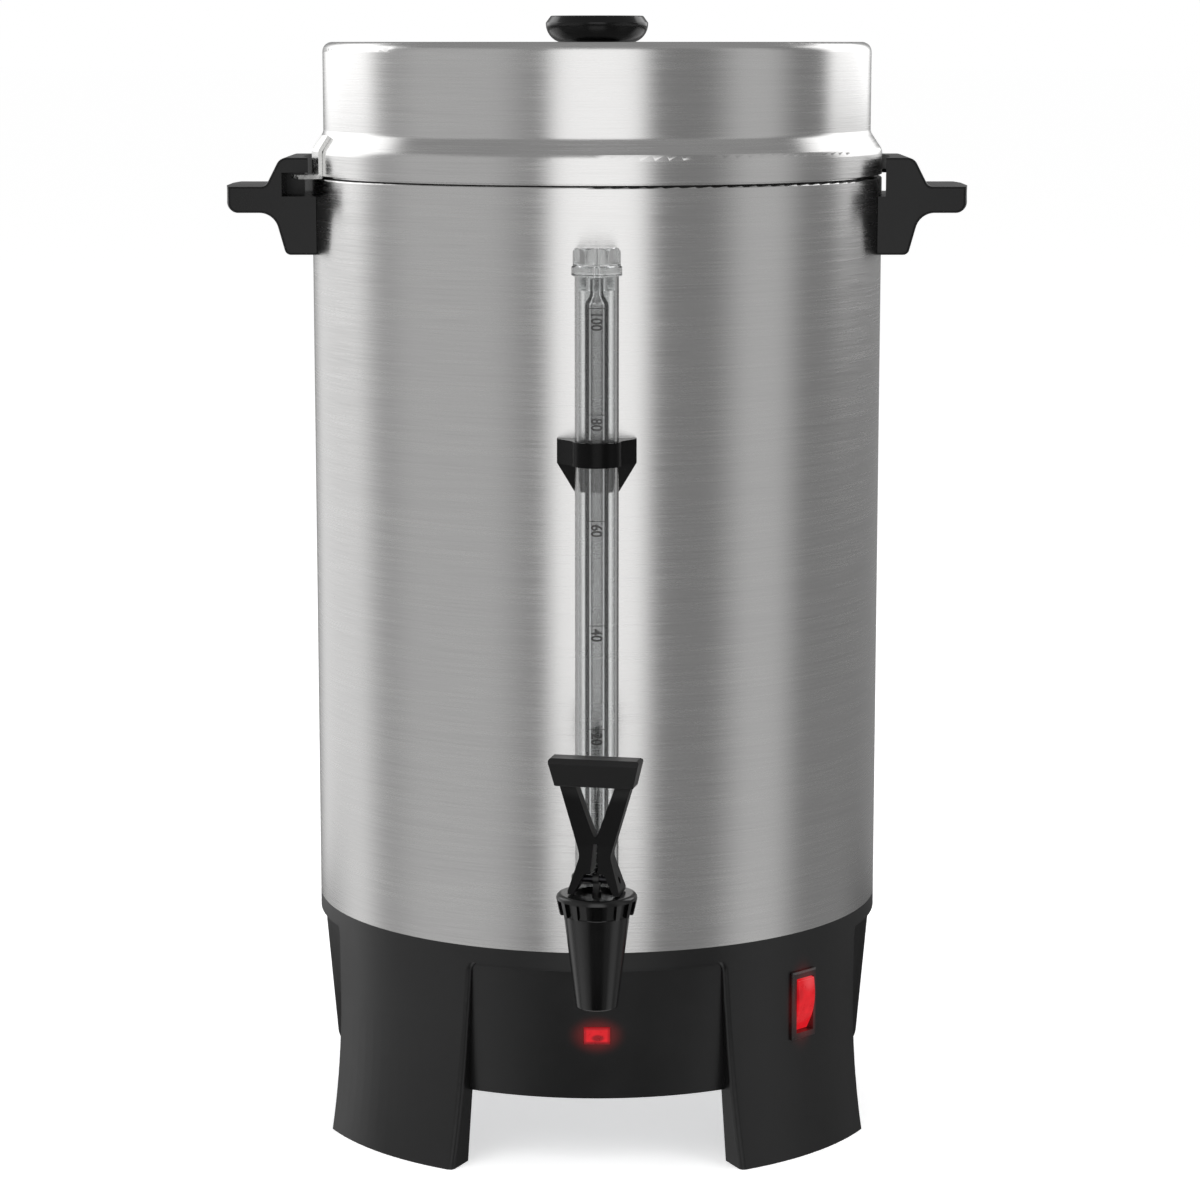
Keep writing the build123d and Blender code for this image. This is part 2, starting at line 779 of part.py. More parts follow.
def make_switch_housing():
    face = skin_frame()
    half = (bezel_width / 2, bezel_height / 2)
    bezel = block((face, -half[0], -half[1]), (face + bezel_proud, half[0], half[1]))
    bezel = chamfer(bezel.faces().sort_by(Axis.X)[-1].edges(), 0.8)
    half = (switch_width / 2, switch_height / 2)
    shell = block((face - switch_depth, -half[0], -half[1]), (face, half[0], half[1]))
    inner = (half[0] - switch_wall, rocker_reach + moving_gap)
    depth = rocker_reach + moving_gap
    cavity = block((rocker_pivot() - depth, -inner[0], -inner[1]), (face + 9, inner[0], inner[1]))
    trunnion_hole = rod(
        lever_pin_radius + running_gap,
        (rocker_pivot(), -half[0] - 1, 0),
        (rocker_pivot(), half[0] + 1, 0),
    )
    housing = bezel + shell - cavity - trunnion_hole
    return on_side(switch_azimuth, Pos(0, 0, switch_centre) * housing)


def make_switch_rocker():
    """Drawn midway between on and off, then turned until its lower end is pressed in."""
    half = switch_width / 2 - switch_wall - moving_gap
    face_rise = rocker_reach * sin(radians(rocker_swing / 2)) + bezel_proud
    disc = Rot(90, 0, 0) * Cylinder(rocker_reach, 2 * half)
    front = Rot(90, 0, 0) * extrude(
        outline([
            (-3.2, -rocker_reach - 1),
            (face_rise - 2.2, -rocker_reach - 1),
            (face_rise + 1.8, 0, 30.0),
            (face_rise - 2.2, rocker_reach + 1),
            (-3.2, rocker_reach + 1),
        ]),
        half,
        both=True,
    )
    body = disc & front
    ends = [edge for edge in body.edges() if edge.center().X > face_rise - 3 and abs(edge.center().Z) > 9]
    body = fillet([edge for edge in ends if edge.geom_type == GeomType.LINE], 0.5)
    trunnions = rod(lever_pin_radius, (0, -half - 1, 0), (0, half + 1, 0))
    rocker = Rot(0, rocker_swing / 2, 0) * (body + trunnions)
    return on_side(switch_azimuth, Pos(rocker_pivot(), 0, switch_centre) * rocker)


def make_switch_terminals():
    back = skin_frame() - switch_depth
    tag = block((back - switch_tag_length, -2.4, -0.4), (back, 2.4, 0.4))
    tags = [Pos(0, 0, switch_centre + step * switch_tag_pitch) * tag for step in (-1, 0, 1)]
    return [on_side(switch_azimuth, item) for item in tags]


def make_inlet_socket():
    half = (inlet_width / 2, inlet_height / 2)
    mouth = inlet_face + inlet_flange_thickness
    back = mouth - inlet_depth
    shell = block((-half[0], back, -half[1]), (half[0], mouth, half[1]))
    shell = fillet(shell.edges().filter_by(Axis.Y), 2.5)
    lip = (half[0] + inlet_flange, half[1] + inlet_flange)
    flange = block((-lip[0], inlet_face, -lip[1]), (lip[0], mouth, lip[1]))
    flange = fillet(flange.edges().filter_by(Axis.Y), 4.0)
    inner = (half[0] - inlet_wall, half[1] - inlet_wall)
    cavity = block((-inner[0], back + inlet_floor, -inner[1]), (inner[0], mouth + 1, inner[1]))
    socket = shell + flange - fillet(cavity.edges().filter_by(Axis.Y), 1.5)
    for x, rise in pin_places():
        socket -= Pos(x, back, rise) * Box(pin_width, inlet_depth, pin_height)
    return Pos(0, 0, inlet_centre) * socket


def pin_places():
    return [(-pin_pitch, -pin_rise / 2), (0, pin_rise / 2), (pin_pitch, -pin_rise / 2)]


def pin_back():
    return inlet_face + inlet_flange_thickness - inlet_depth - pin_tail


def make_inlet_pins():
    tip = inlet_face + inlet_flange_thickness - pin_recess
    pins = []
    for x, rise in pin_places():
        low = (x - pin_width / 2, pin_back(), inlet_centre + rise - pin_height / 2)
        pins.append(block(low, (x + pin_width / 2, tip, low[2] + pin_height)))
    return pins


# ---------------------------------------------------------------- wiring inside the base
def around(azimuth, radius, height, aside=0.0):
    """Point at an azimuth and radius, and a little to the side of it."""
    angle = radians(azimuth)
    return (
        radius * cos(angle) - aside * sin(angle),
        radius * sin(angle) + aside * cos(angle),
        height,
    )


def wire(points, radii):
    """Insulated wire along straight runs joined by arcs, with its expected volume checked."""
    path = FilletPolyline(*points, radius=radii)
    start = Plane(origin=path @ 0, z_dir=path % 0)
    tube = sweep(start * Circle(wire_radius), path=path)
    expected = pi * wire_radius**2 * path.length
    print(f"wire {path.length:.0f} mm, volume {tube.volume:.0f} of {expected:.0f}")
    return tube


def make_wiring():
    tags = skin_frame() - switch_depth - switch_tag_length - moving_gap
    back = pin_back()
    live, earth, neutral = (inlet_centre + rise for _, rise in reversed(pin_places()))
    thermostat_low = tank_bottom - close_gap - thermostat_height - 5
    blade_low = heater_bottom - blade_drop
    fuse_ends = [thermostat_circle + side * fuse_length / 2 for side in (-1, 1)]
    lamp_back = -(lamp_face + lamp_proud - lamp_lens_depth - lamp_holder_depth)
    near, far = (thermostat_circle + side * terminal_pitch / 2 for side in (-1, 1))
    live_wire = [
        (pin_pitch, back, live),
        (pin_pitch, back - 14, live),
        (42, 46, 60),
        (52, 0, 58),
        around(switch_azimuth, 72, 66),
        around(switch_azimuth, tags, switch_centre),
    ]
    switched_wire = [
        around(switch_azimuth, tags, switch_centre + switch_tag_pitch),
        around(switch_azimuth, tags - 14, switch_centre + switch_tag_pitch - 2),
        around(thermostat_azimuth, far, thermostat_low - 9),
        around(thermostat_azimuth, far, thermostat_low),
    ]
    heater_wire = [
        around(thermostat_azimuth, near, thermostat_low),
        around(thermostat_azimuth, near, thermostat_low - 10),
        around(heater_azimuths[0], blade_circle, blade_low - 8),
        around(heater_azimuths[0], blade_circle, blade_low),
    ]
    fuse_wire = [
        around(heater_azimuths[1], blade_circle, blade_low),
        around(heater_azimuths[1], blade_circle, blade_low - 9),
        around(fuse_azimuth, fuse_ends[0] - 9, blade_low - 3),
        around(fuse_azimuth, fuse_ends[0] - 7, fuse_height()),
        around(fuse_azimuth, fuse_ends[0], fuse_height()),
    ]
    neutral_wire = [
        around(fuse_azimuth, fuse_ends[1], fuse_height()),
        around(fuse_azimuth, fuse_ends[1] + 9, fuse_height()),
        (-52, 66, 76),
        (-28, 80, neutral),
        (-pin_pitch, back - 12, neutral),
        (-pin_pitch, back, neutral),
    ]
    lug_height = flange_bottom - sheet / 2
    earth_wire = [
        (0, back, earth),
        (0, back - 10, earth),
        (0, back - 10, lug_height),
        (0, stud_circle - 16, lug_height),
    ]
    lamp_live = [
        (lead_pitch, lamp_back, lamp_centre),
        (lead_pitch, lamp_back + 14, lamp_centre),
        (30, -78, 62),
        around(switch_azimuth, tags - 14, switch_centre - switch_tag_pitch),
        around(switch_azimuth, tags, switch_centre - switch_tag_pitch),
    ]
    blade_edge = blade_width / 2 + 0.02
    lamp_neutral = [
        (-lead_pitch, lamp_back, lamp_centre),
        (-lead_pitch, lamp_back + 16, lamp_centre),
        (-30, -55, 62),
        (-42, -12, 70),
        around(heater_azimuths[1], blade_circle, blade_low + 2.5, blade_edge + 15),
        around(heater_azimuths[1], blade_circle, blade_low + 2.5, blade_edge),
    ]
    return [
        wire(live_wire, [6, 12, 12, 5]),
        wire(switched_wire, [4, 3]),
        wire(heater_wire, [4, 4]),
        wire(fuse_wire, [4, 4, 3]),
        wire(neutral_wire, [4, 6, 6, 4]),
        wire(earth_wire, [4, 4]),
        wire(lamp_live, [5, 8, 5]),
        wire(lamp_neutral, [5, 10, 8, 5]),
    ]


# ---------------------------------------------------------------- handles
def handle_profile():
    inner = tank_radius * 0.9
    return outline([
        (inner, handle_bottom),
        (handle_root, handle_bottom, 3.0),
        (handle_waist, grip_bottom, 9.0),
        (handle_tip, grip_bottom),
        (handle_tip - 0.6, grip_top),
        (handle_step + 3, grip_top, 4.0),
        (bracket_reach + 0.8, handle_top, 5.0),
        (inner, handle_top),
    ])


def handle_plan():
    """Outline from above: square ends, rounded outer corners and a gently bowed grip."""
    half = handle_width / 2
    inner = tank_radius * 0.8
    swell = (half**2 + handle_crown**2) / (2 * handle_crown)
    body = block((inner, -half, 0), (handle_tip, half, 2 * handle_top))
    return body & Pos(handle_tip - swell, 0, 0) * Cylinder(swell, 4 * handle_top)


def soften_ends(body):
    """Round the edges of the handle's two end faces, from the bracket's top to its lower end."""
    for end in (0, -1):
        face = body.faces().filter_by(GeomType.PLANE).sort_by(Axis.Y)[end]
        rim = [edge for edge in face.edges() if edge.center().X > tank_radius]
        body = fillet(rim, handle_edge)
    return body


def make_handle(azimuth):
    half = handle_width / 2
    body = Rot(90, 0, 0) * extrude(handle_profile(), half, both=True)
    body &= handle_plan()
    bow = body.edges().filter_by(GeomType.CIRCLE).sort_by(Axis.X)[-2:]
    body = fillet(bow.sort_by(Axis.Z)[-1], grip_corner)
    body = soften_ends(body)
    body -= Cylinder(tank_radius + close_gap, 4 * handle_top)
    body -= ring(0, relief_radius, slot_bottom, handle_top + 1)
    locked_edge = radians(tab_azimuth - tab_lock_turn - tab_half_angle)
    stop = tank_radius * sin(locked_edge) - 2 * moving_gap
    slot_end = (slot_reach, half + 1, slot_top)
    body -= block((tank_radius - 5, stop, slot_bottom), slot_end)
    bore_end = tank_radius + close_gap + insert_length + insert_room
    hole = rod(
        handle_screw_radius + insert_wall,
        (tank_radius - 5, 0, handle_screw_height),
        (tank_radius + close_gap + insert_length, 0, handle_screw_height),
    )
    hole += rod(
        handle_screw_radius + close_gap,
        (tank_radius - 5, 0, handle_screw_height),
        (bore_end, 0, handle_screw_height),
    )
    for bore in at_azimuths((-handle_screw_azimuth, handle_screw_azimuth), hole):
        body -= bore
    return on_side(azimuth, body)


def make_handle_inserts():
    start = tank_radius + close_gap + 0.3
    end = tank_radius + close_gap + insert_length
    sleeve = rod(
        handle_screw_radius + insert_wall - running_gap,
        (start, 0, handle_screw_height),
        (end, 0, handle_screw_height),
    )
    sleeve -= rod(
        handle_screw_radius + running_gap,
        (start - 1, 0, handle_screw_height),
        (end + 1, 0, handle_screw_height),
    )
    return at_azimuths(handle_screw_azimuths(), sleeve)


def make_handle_screws():
    seat = tank_radius - tank_wall - 2 * close_gap
    tip = tank_radius + insert_length + insert_room / 2
    shaft = rod(handle_screw_radius, (seat, 0, handle_screw_height), (tip, 0, handle_screw_height))
    head = rod(
        handle_screw_head,
        (seat - handle_screw_head_height, 0, handle_screw_height),
        (seat, 0, handle_screw_height),
    )
    head = fillet(head.edges().sort_by(Axis.X)[0], 1.2)
    slot = Pos(seat - handle_screw_head_height, 0, handle_screw_height) * Box(2.0, 12.0, 1.0)
    return at_azimuths(handle_screw_azimuths(), head + shaft - slot)


# ---------------------------------------------------------------- cover
def cover_outline(inset):
    """Half section of the cover's skin, drawn this far inside its outer face."""
    return [
        (0, dish_height - inset),
        (dish_radius + inset, dish_height - inset, 3.0 - inset),
        (dish_radius + 2.4 + inset, crown_height - inset, 2.0 + inset),
        (band_radius - inset, crown_height - inset, crown_corner - inset),
        (band_radius - inset, ledge_line(band_radius - inset, -inset), ledge_hollow + inset),
        (tank_radius - inset, ledge_line(tank_radius - inset, -inset), ledge_bulge - inset),
        (tank_radius - inset, skirt_bottom),
        (0, skirt_bottom),
    ]


def make_cover_shell():
    skin = turned(cover_outline(0)) - turned(cover_outline(sheet))
    skin -= rod(knob_screw_radius + close_gap, (0, 0, dish_height - 5), (0, 0, dish_height + 5))
    vent = Pos(dish_radius / 2, 0, dish_height) * Cylinder(steam_vent_radius, 10)
    return cut_all(skin, at_azimuths((45.0, 225.0), vent))


def make_cover_lock_tabs():
    """Bent straps: a foot that turns in the slot, a shank up the skirt and a lap over the ledge."""
    inner = tank_radius + running_gap
    outer = inner + tab_sheet
    end = slot_reach - tab_end_gap
    foot_top = tab_bottom + tab_sheet
    lap = band_radius + 1.3
    lap_height = ledge_line(lap, running_gap)
    tab = turned(
        [
            (inner, tab_bottom),
            (end, tab_bottom, 0.4),
            (end, foot_top, 0.4),
            (outer, foot_top, 1.0),
            (outer, ledge_line(outer, running_gap + tab_sheet), 2.5),
            (lap + tab_sheet * ledge_drop / ledge_length, lap_height + tab_sheet * ledge_run / ledge_length),
            (lap, lap_height),
            (inner, ledge_line(inner, running_gap), 0.5),
        ],
        tab_azimuth - tab_half_angle,
        2 * tab_half_angle,
    )
    return at_azimuths((0.0, 180.0), tab)


def make_knob_washer():
    return ring(knob_screw_radius + close_gap, knob_washer_radius, dish_height, washer_top)


def make_cover_knob():
    underside = knob_widest - knob_bowl - 0.4
    knob = turned([
        (0, washer_top),
        (knob_neck, washer_top, 0.8),
        (knob_neck, underside, 2.5),
        (knob_radius, underside, knob_bowl),
        (knob_radius, knob_widest, 0.8),
        (knob_radius - 2.4, knob_top, 1.2),
        (knob_radius - 8, knob_top - 0.6, 4.0),
        (0, knob_top - 1.0),
    ])
    depth = knob_screw_length - knob_washer_height
    return knob - rod(knob_screw_radius + running_gap, (0, 0, washer_top), (0, 0, washer_top + depth))


def make_knob_screw():
    seat = dish_height - sheet
    shaft = rod(knob_screw_radius, (0, 0, seat - 1), (0, 0, seat + knob_screw_length))
    head = turned([(0, seat - 2.6), (knob_screw_head, seat - 2.6, 1.4), (knob_screw_head, seat), (0, seat)])
    slot = Pos(0, 0, seat - 2.6) * Box(12.0, 1.0, 2.0)
    return head + shaft - slot


# ---------------------------------------------------------------- sight gauge
def at_gauge(shape):
    return Pos(0, -gauge_circle, 0) * shape


def at_tap(shape):
    return Pos(0, -tap_circle, 0) * shape


def make_gauge_shield():
    return at_gauge(ring(shield_radius - shield_wall, shield_radius, socket_step, shield_top))


def make_gauge_glass():
    neck = glass_shoulder + glass_neck_height
    outer = turned([
        (0, gauge_seal_bottom),
        (glass_radius, gauge_seal_bottom),
        (glass_radius, glass_shoulder, 3.0),
        (glass_tip_radius, neck, 3.0),
        (glass_tip_radius, glass_tip_top, 0.8),
        (0, glass_tip_top),
    ])
    bore = glass_radius - glass_wall
    inner = turned([
        (0, gauge_seal_bottom - 1),
        (bore, gauge_seal_bottom - 1),
        (bore, glass_shoulder, 2.0),
        (glass_tip_radius - glass_wall, neck, 2.0),
        (glass_tip_radius - glass_wall, glass_tip_top + 1),
        (0, glass_tip_top + 1),
    ])
    return at_gauge(outer - inner)


def make_gauge_seal():
    top = socket_step - 0.5
    return at_gauge(ring(glass_radius + running_gap, shield_radius - shield_wall, gauge_seal_bottom, top))


def make_gauge_cap():
    plug = shield_radius - shield_wall - running_gap
    collar_edge = shield_top + gauge_cap_collar
    cap = ring(0, plug, shield_top - gauge_plug_depth, shield_top)
    cap += turned([
        (0, shield_top),
        (gauge_cap_radius, shield_top, 0.5),
        (gauge_cap_radius, collar_edge, 1.0),
        (0, collar_edge),
    ])
    hexagon = Pos(0, 0, collar_edge) * extrude(RegularPolygon(gauge_cap_hex, 6), gauge_cap_top - collar_edge)
    crown = turned([
        (0, collar_edge - 1),
        (gauge_cap_hex, collar_edge - 1),
        (gauge_cap_hex, gauge_cap_top, 2.4),
        (0, gauge_cap_top),
    ])
    cap += hexagon & crown
    tip_room = glass_tip_radius + moving_gap
    cap -= ring(0, tip_room, shield_top - gauge_plug_depth - 1, glass_tip_top + moving_gap)
    vent = ring(0, 1.0, glass_tip_top, gauge_cap_top + 1)
    return at_gauge(cap - vent)


def make_gauge_clip():
    """Band round the shield whose wings spread back to the tank."""
    band = shield_radius + running_gap + clip_band
    back = tank_radius - gauge_circle
    half = clip_half_width
    wings = outline([
        (-half, -back - 3),
        (-band, 0),
        (band, 0),
        (half, -back - 3),
        (half, -back),
        (-half, -back),
    ])
    top = clip_bottom + clip_height
    plan = extrude(wings, clip_height) + Cylinder(
        band, clip_height, align=(Align.CENTER, Align.CENTER, Align.MIN)
    )
    plan -= Cylinder(shield_radius + running_gap, 4 * clip_height)
    clip = at_gauge(Pos(0, 0, clip_bottom) * plan) + clip_back_plate()
    clip -= Cylinder(tank_radius + close_gap, 4 * top)
    middle = clip_bottom + clip_height / 2
    return clip - rod(rivet_radius + running_gap, (0, -tank_radius, middle), (0, -tank_radius - 2.0, middle))


def clip_back_plate():
    """Plate against the tank: as wide as the wings, and narrowing below them."""
    top = clip_bottom + clip_height
    low = clip_bottom - clip_tail
    front = outline([
        (-clip_half_width, clip_bottom, 1.5),
        (-shield_radius, low, 2.0),
        (shield_radius, low, 2.0),
        (clip_half_width, clip_bottom, 1.5),
        (clip_half_width, top),
        (-clip_half_width, top),
    ])
    plate = Rot(90, 0, 0) * extrude(front, 2 * tank_radius)
    return plate & ring(tank_radius, tank_radius + clip_plate, low, top)


def make_gauge_rivet():
    middle = clip_bottom + clip_height / 2
    seat = tank_radius - tank_wall - close_gap
    shaft = rod(rivet_radius, (0, -seat, middle), (0, -tank_radius - 2.0, middle))
    head = rod(rivet_head, (0, -seat + rivet_head_height, middle), (0, -seat, middle))
    return fillet(head.edges().sort_by(Axis.Y)[-1], 0.8) + shaft


# ---------------------------------------------------------------- tap
def make_tap_shank():
    end = tap_circle - cavity_radius - 4
    tube = rod(shank_radius, (0, -shank_tail, shank_height), (0, -end, shank_height))
    flange = rod(shank_flange_radius, (0, -socket_back, shank_height), (0, -shank_face, shank_height))
    socket = at_gauge(ring(0, socket_radius, shank_height, socket_top))
    socket = fillet(socket.edges().sort_by(Axis.Z)[-1], 1.0)
    socket -= block((-20, -socket_back, 0), (20, 0, shield_top))
    shoulder = rod(tap_boss_radius, (0, -gauge_circle, shank_height), (0, -tap_joint + 1.2, shank_height))
    shank = tube + flange + socket + shoulder
    shank -= rod(shank_bore, (0, 0, shank_height), (0, -tap_circle, shank_height))
    seat_radius = shield_radius - shield_wall + close_gap
    shank -= at_gauge(ring(0, shield_radius + running_gap, socket_step, socket_top + 1))
    shank -= at_gauge(ring(0, seat_radius, gauge_seal_bottom, socket_top))
    return shank - at_gauge(ring(0, gauge_duct, shank_height, socket_top))


def make_shank_nut():
    inner_seal = tank_radius - tank_wall - seal_thickness
    nut = extrude(RegularPolygon(shank_nut_radius, 6), shank_nut_height)
    nut -= Cylinder(shank_radius + running_gap, shank_nut_height * 3)
    return Pos(0, -inner_seal + shank_nut_height, shank_height) * Rot(90, 0, 0) * nut


def make_outer_seal():
    seal = rod(shank_flange_radius, (0, -tank_radius * 0.9, shank_height), (0, -socket_back, shank_height))
    seal -= rod(shank_radius + running_gap, (0, 0, shank_height), (0, -tap_circle, shank_height))
    return seal - Cylinder(tank_radius + running_gap, 4 * shank_height)


def make_inner_seal():
    face = tank_radius - tank_wall - seal_thickness
    seal = rod(shank_flange_radius - 1, (0, -face, shank_height), (0, -tank_radius, shank_height))
    seal -= rod(shank_radius + running_gap, (0, 0, shank_height), (0, -tap_circle, shank_height))
    return seal & Cylinder(tank_radius - tank_wall - running_gap, 4 * shank_height)


def make_tap_gasket():
    gasket = rod(tap_boss_radius, (0, -tap_joint + 1.2, shank_height), (0, -tap_joint, shank_height))
    return gasket - rod(shank_radius + running_gap, (0, 0, shank_height), (0, -tap_circle, shank_height))


def make_tap_body():
    cone = turned([
        (0, spout_tip),
        (spout_tip_radius, spout_tip, 0.8),
        (spout_top_radius, spout_top, 0.5),
        (collar_thread, spout_top),
        (collar_thread, spring_top),
        (0, spring_top),
    ])
    body = at_tap(cone)
    body += rod(tap_boss_radius, (0, -tap_joint, shank_height), (0, -tap_circle, shank_height))
    body -= at_tap(ring(0, cavity_radius, valve_seat, spring_top + 1))
    body -= at_tap(ring(0, spout_bore, spout_tip - 1, valve_seat))
    socket_end = tap_circle - cavity_radius
    return body - rod(
        shank_radius + running_gap, (0, -tap_joint + 1, shank_height), (0, -socket_end, shank_height)
    )


def make_tap_collar():
    low = spring_top - collar_skirt
    collar = turned([
        (stem_radius + running_gap, low),
        (collar_radius - collar_taper, low, 0.6),
        (collar_radius, collar_top, 2.2),
        (stem_radius + running_gap, collar_top),
    ])
    collar -= ring(0, collar_thread + running_gap, low - 1, spring_top)
    collar -= ring(0, collar_well_radius, collar_top - collar_well_depth, collar_top + 1)
    notch = block(
        (collar_radius - collar_notch_depth, -collar_notch_width / 2, low - 1),
        (collar_radius + 2, collar_notch_width / 2, low + collar_notch_height),
    )
    lean = degrees(asin(collar_taper / (collar_top - low)))
    notch = Pos(collar_radius, 0, collar_top) * Rot(0, lean, 0) * Pos(-collar_radius, 0, -collar_top) * notch
    azimuths = [-90 + index * 360 / collar_notches for index in range(collar_notches)]
    return at_tap(cut_all(collar, at_azimuths(azimuths, notch)))


def make_tap_stem():
    """Spindle with a flat tongue for the lever's pin and a head that holds the valve cup."""
    tongue_low = collar_top + lever_foot_rise
    shaft = ring(0, stem_radius, cup_bottom + valve_lip + 0.5, tongue_low)
    half = stem_tongue / 2
    tongue = block((-half, -stem_radius, tongue_low - moving_gap), (half, stem_radius, lever_pivot))
    tongue += rod(stem_radius + 0.6, (-half, 0, lever_pivot), (half, 0, lever_pivot))
    hole = rod(lever_pin_radius + running_gap, (-5, 0, lever_pivot), (5, 0, lever_pivot))
    head = ring(0, stem_radius + 1.5, cup_bottom + valve_lip + 0.5, cup_bottom + valve_lip + 2)
    washer = ring(0, valve_cup_radius - 0.6, cup_top, cup_top + 1.2)
    return at_tap(Rot(0, 0, lever_turn) * (shaft + tongue + head + washer - hole))


def make_valve_cup():
    cup = turned([
        (0, cup_bottom + valve_lip),
        (spout_bore - 0.7, cup_bottom + valve_lip, 0.4),
        (spout_bore + 0.4, cup_bottom, 0.2),
        (valve_cup_radius, cup_bottom, 0.6),
        (valve_cup_radius - 0.4, cup_top, 0.6),
        (0, cup_top),
    ])
    cup -= ring(0, stem_radius, cup_bottom + valve_lip + 0.5, cup_top + 1)
    return at_tap(cup - ring(0, stem_radius + 1.5, cup_bottom + valve_lip + 0.5, cup_bottom + valve_lip + 2))


def make_tap_spring():
    low = cup_top + 1.2 + spring_wire
    high = spring_top - spring_wire
    coil = spring_radius - spring_wire
    path = Helix((high - low) / spring_turns, high - low, coil)
    section = Plane(origin=path @ 0, z_dir=path % 0) * Circle(spring_wire)
    return at_tap(Pos(0, 0, low) * sweep(section, path=path, is_frenet=True))


def lever_front():
    """Front view of the lever's foot, its two arms and its paddle, as one outline."""
    foot = collar_top + lever_foot_rise
    half = lever_foot_width / 2
    waist = lever_waist / 2
    arm_top = paddle_width_bottom / 2 - 1.2
    return outline([
        (-half, foot),
        (half, foot),
        (half, foot + 1.5, 1.0),
        (waist, lever_waist_height, 6.0),
        (arm_top, paddle_bottom + 1),
        (-arm_top, paddle_bottom + 1),
        (-waist, lever_waist_height, 6.0),
        (-half, foot + 1.5, 1.0),
    ])


def lever_side():
    """Side view that the front view is trimmed to, drawn as (forward, height)."""
    foot = collar_top + lever_foot_rise
    deep = lever_foot_depth / 2
    arm = lever_arm_depth / 2
    return outline([
        (-deep, foot),
        (deep, foot, 1.0),
        (deep - 1.2, foot + 4, 3.0),
        (arm, lever_waist_height + 4, 8.0),
        (arm, paddle_top),
        (-arm, paddle_top),
        (-arm, lever_waist_height + 4, 8.0),
        (1.2 - deep, foot + 4, 3.0),
    ])


def make_paddle():
    top = outline([
        (-paddle_width_bottom / 2, paddle_bottom, 0.8),
        (paddle_width_bottom / 2, paddle_bottom, 0.8),
        (paddle_width_top / 2, paddle_top, 1.2),
        (-paddle_width_top / 2, paddle_top, 1.2),
    ])
    slab = Rot(90, 0, 0) * extrude(top, paddle_depth, both=True)
    rear = lever_arm_depth / 2
    side = outline([
        (rear, paddle_bottom),
        (rear, paddle_top - 1.5),
        (rear - 1.5, paddle_top),
        (rear - paddle_depth - paddle_lean + 2.0, paddle_top, 0.5),
        (rear - paddle_depth - paddle_lean, paddle_top - 2.0, 0.5),
        (rear - paddle_depth, paddle_bottom, 1.0),
    ])
    plan = outline([
        (-paddle_width_top / 2, -rear),
        (paddle_width_top / 2, -rear),
        (paddle_width_top / 2, paddle_depth - paddle_bevel),
        (paddle_width_top / 2 - paddle_bevel, paddle_depth + paddle_lean),
        (paddle_bevel - paddle_width_top / 2, paddle_depth + paddle_lean),
        (-paddle_width_top / 2, paddle_depth - paddle_bevel),
    ])
    paddle = slab & (Plane.YZ * extrude(side, paddle_width_top, both=True))
    return paddle & Rot(180, 0, 0) * extrude(plan, 2 * paddle_top, both=True)


def make_tap_lever():
    front = Rot(90, 0, 0) * extrude(lever_front(), lever_foot_depth, both=True)
    side = Plane.YZ * extrude(lever_side(), lever_foot_width, both=True)
    lever = front & side
    apex = lever_slit_top + 1.0
    inner_top = paddle_width_bottom / 2 - 1.2 - lever_arm_width
    gap = outline([(0, apex, 1.0), (inner_top, paddle_bottom + 3), (-inner_top, paddle_bottom + 3)])
    lever -= Rot(90, 0, 0) * extrude(gap, lever_foot_depth, both=True)
    lever += make_paddle()
    foot = collar_top + lever_foot_rise
    arch = outline([
        (-lever_arch_width / 2, foot - 1),
        (lever_arch_width / 2, foot - 1),
        (lever_arch_top_width / 2, lever_arch_top, 1.2),
        (-lever_arch_top_width / 2, lever_arch_top, 1.2),
    ])
    lever -= Rot(90, 0, 0) * extrude(arch, lever_foot_depth, both=True)
    slit = outline([
        (-lever_slit, lever_arch_top - 1),
        (lever_slit, lever_arch_top - 1),
        (lever_slit / 2, lever_slit_top),
        (-lever_slit / 2, lever_slit_top),
    ])
    lever -= Rot(90, 0, 0) * extrude(slit, lever_foot_depth, both=True)
    lever -= rod(lever_pin_radius, (-15, 0, lever_pivot), (15, 0, lever_pivot))
    return at_tap(Rot(0, 0, lever_turn) * lever)


def make_lever_pin():
    half = lever_waist / 2 + 1.5
    pin = rod(lever_pin_radius, (-half, 0, lever_pivot), (half, 0, lever_pivot))
    return at_tap(Rot(0, 0, lever_turn) * pin)


# ---------------------------------------------------------------- percolator
def pump_rim():
    """The foot's rim stands on the flat of the well, inside its rounded corner."""
    return well_radius - tank_corner


def make_pump_foot():
    low = well_floor + moving_gap
    high = low + pump_height
    stem = stem_tube_radius
    outer = [
        (stem, low),
        (pump_rim(), low),
        (pump_rim(), low + 3, 2.0),
        (stem + 4, high - 6, 6.0),
        (stem + 1.2, high),
        (stem, high),
    ]
    bell = turned([(0, low)] + outer[1:5] + [(0, high)])
    wall = pump_wall
    hollow = turned([
        (0, low - 1),
        (pump_rim() - wall, low - 1),
        (pump_rim() - wall, low + 3 - wall, 1.0),
        (stem + 4 - wall, high - 6 - wall, 4.0),
        (0, high - 6 - wall),
    ])
    bell -= hollow
    bell -= Cylinder(stem + running_gap, 4 * high)
    inlet = block((pump_rim() - 6, -3, low - 1), (pump_rim() + 2, 3, low + 1.8))
    return cut_all(bell, at_azimuths((0.0, 120.0, 240.0), inlet))


def seat_height():
    """Underside of the stem tube, where the pump's valve closes."""
    return well_floor + moving_gap + pump_height - pump_seat_drop


def make_stem_tube():
    return ring(stem_tube_radius - stem_tube_wall, stem_tube_radius, seat_height(), stem_tube_top)


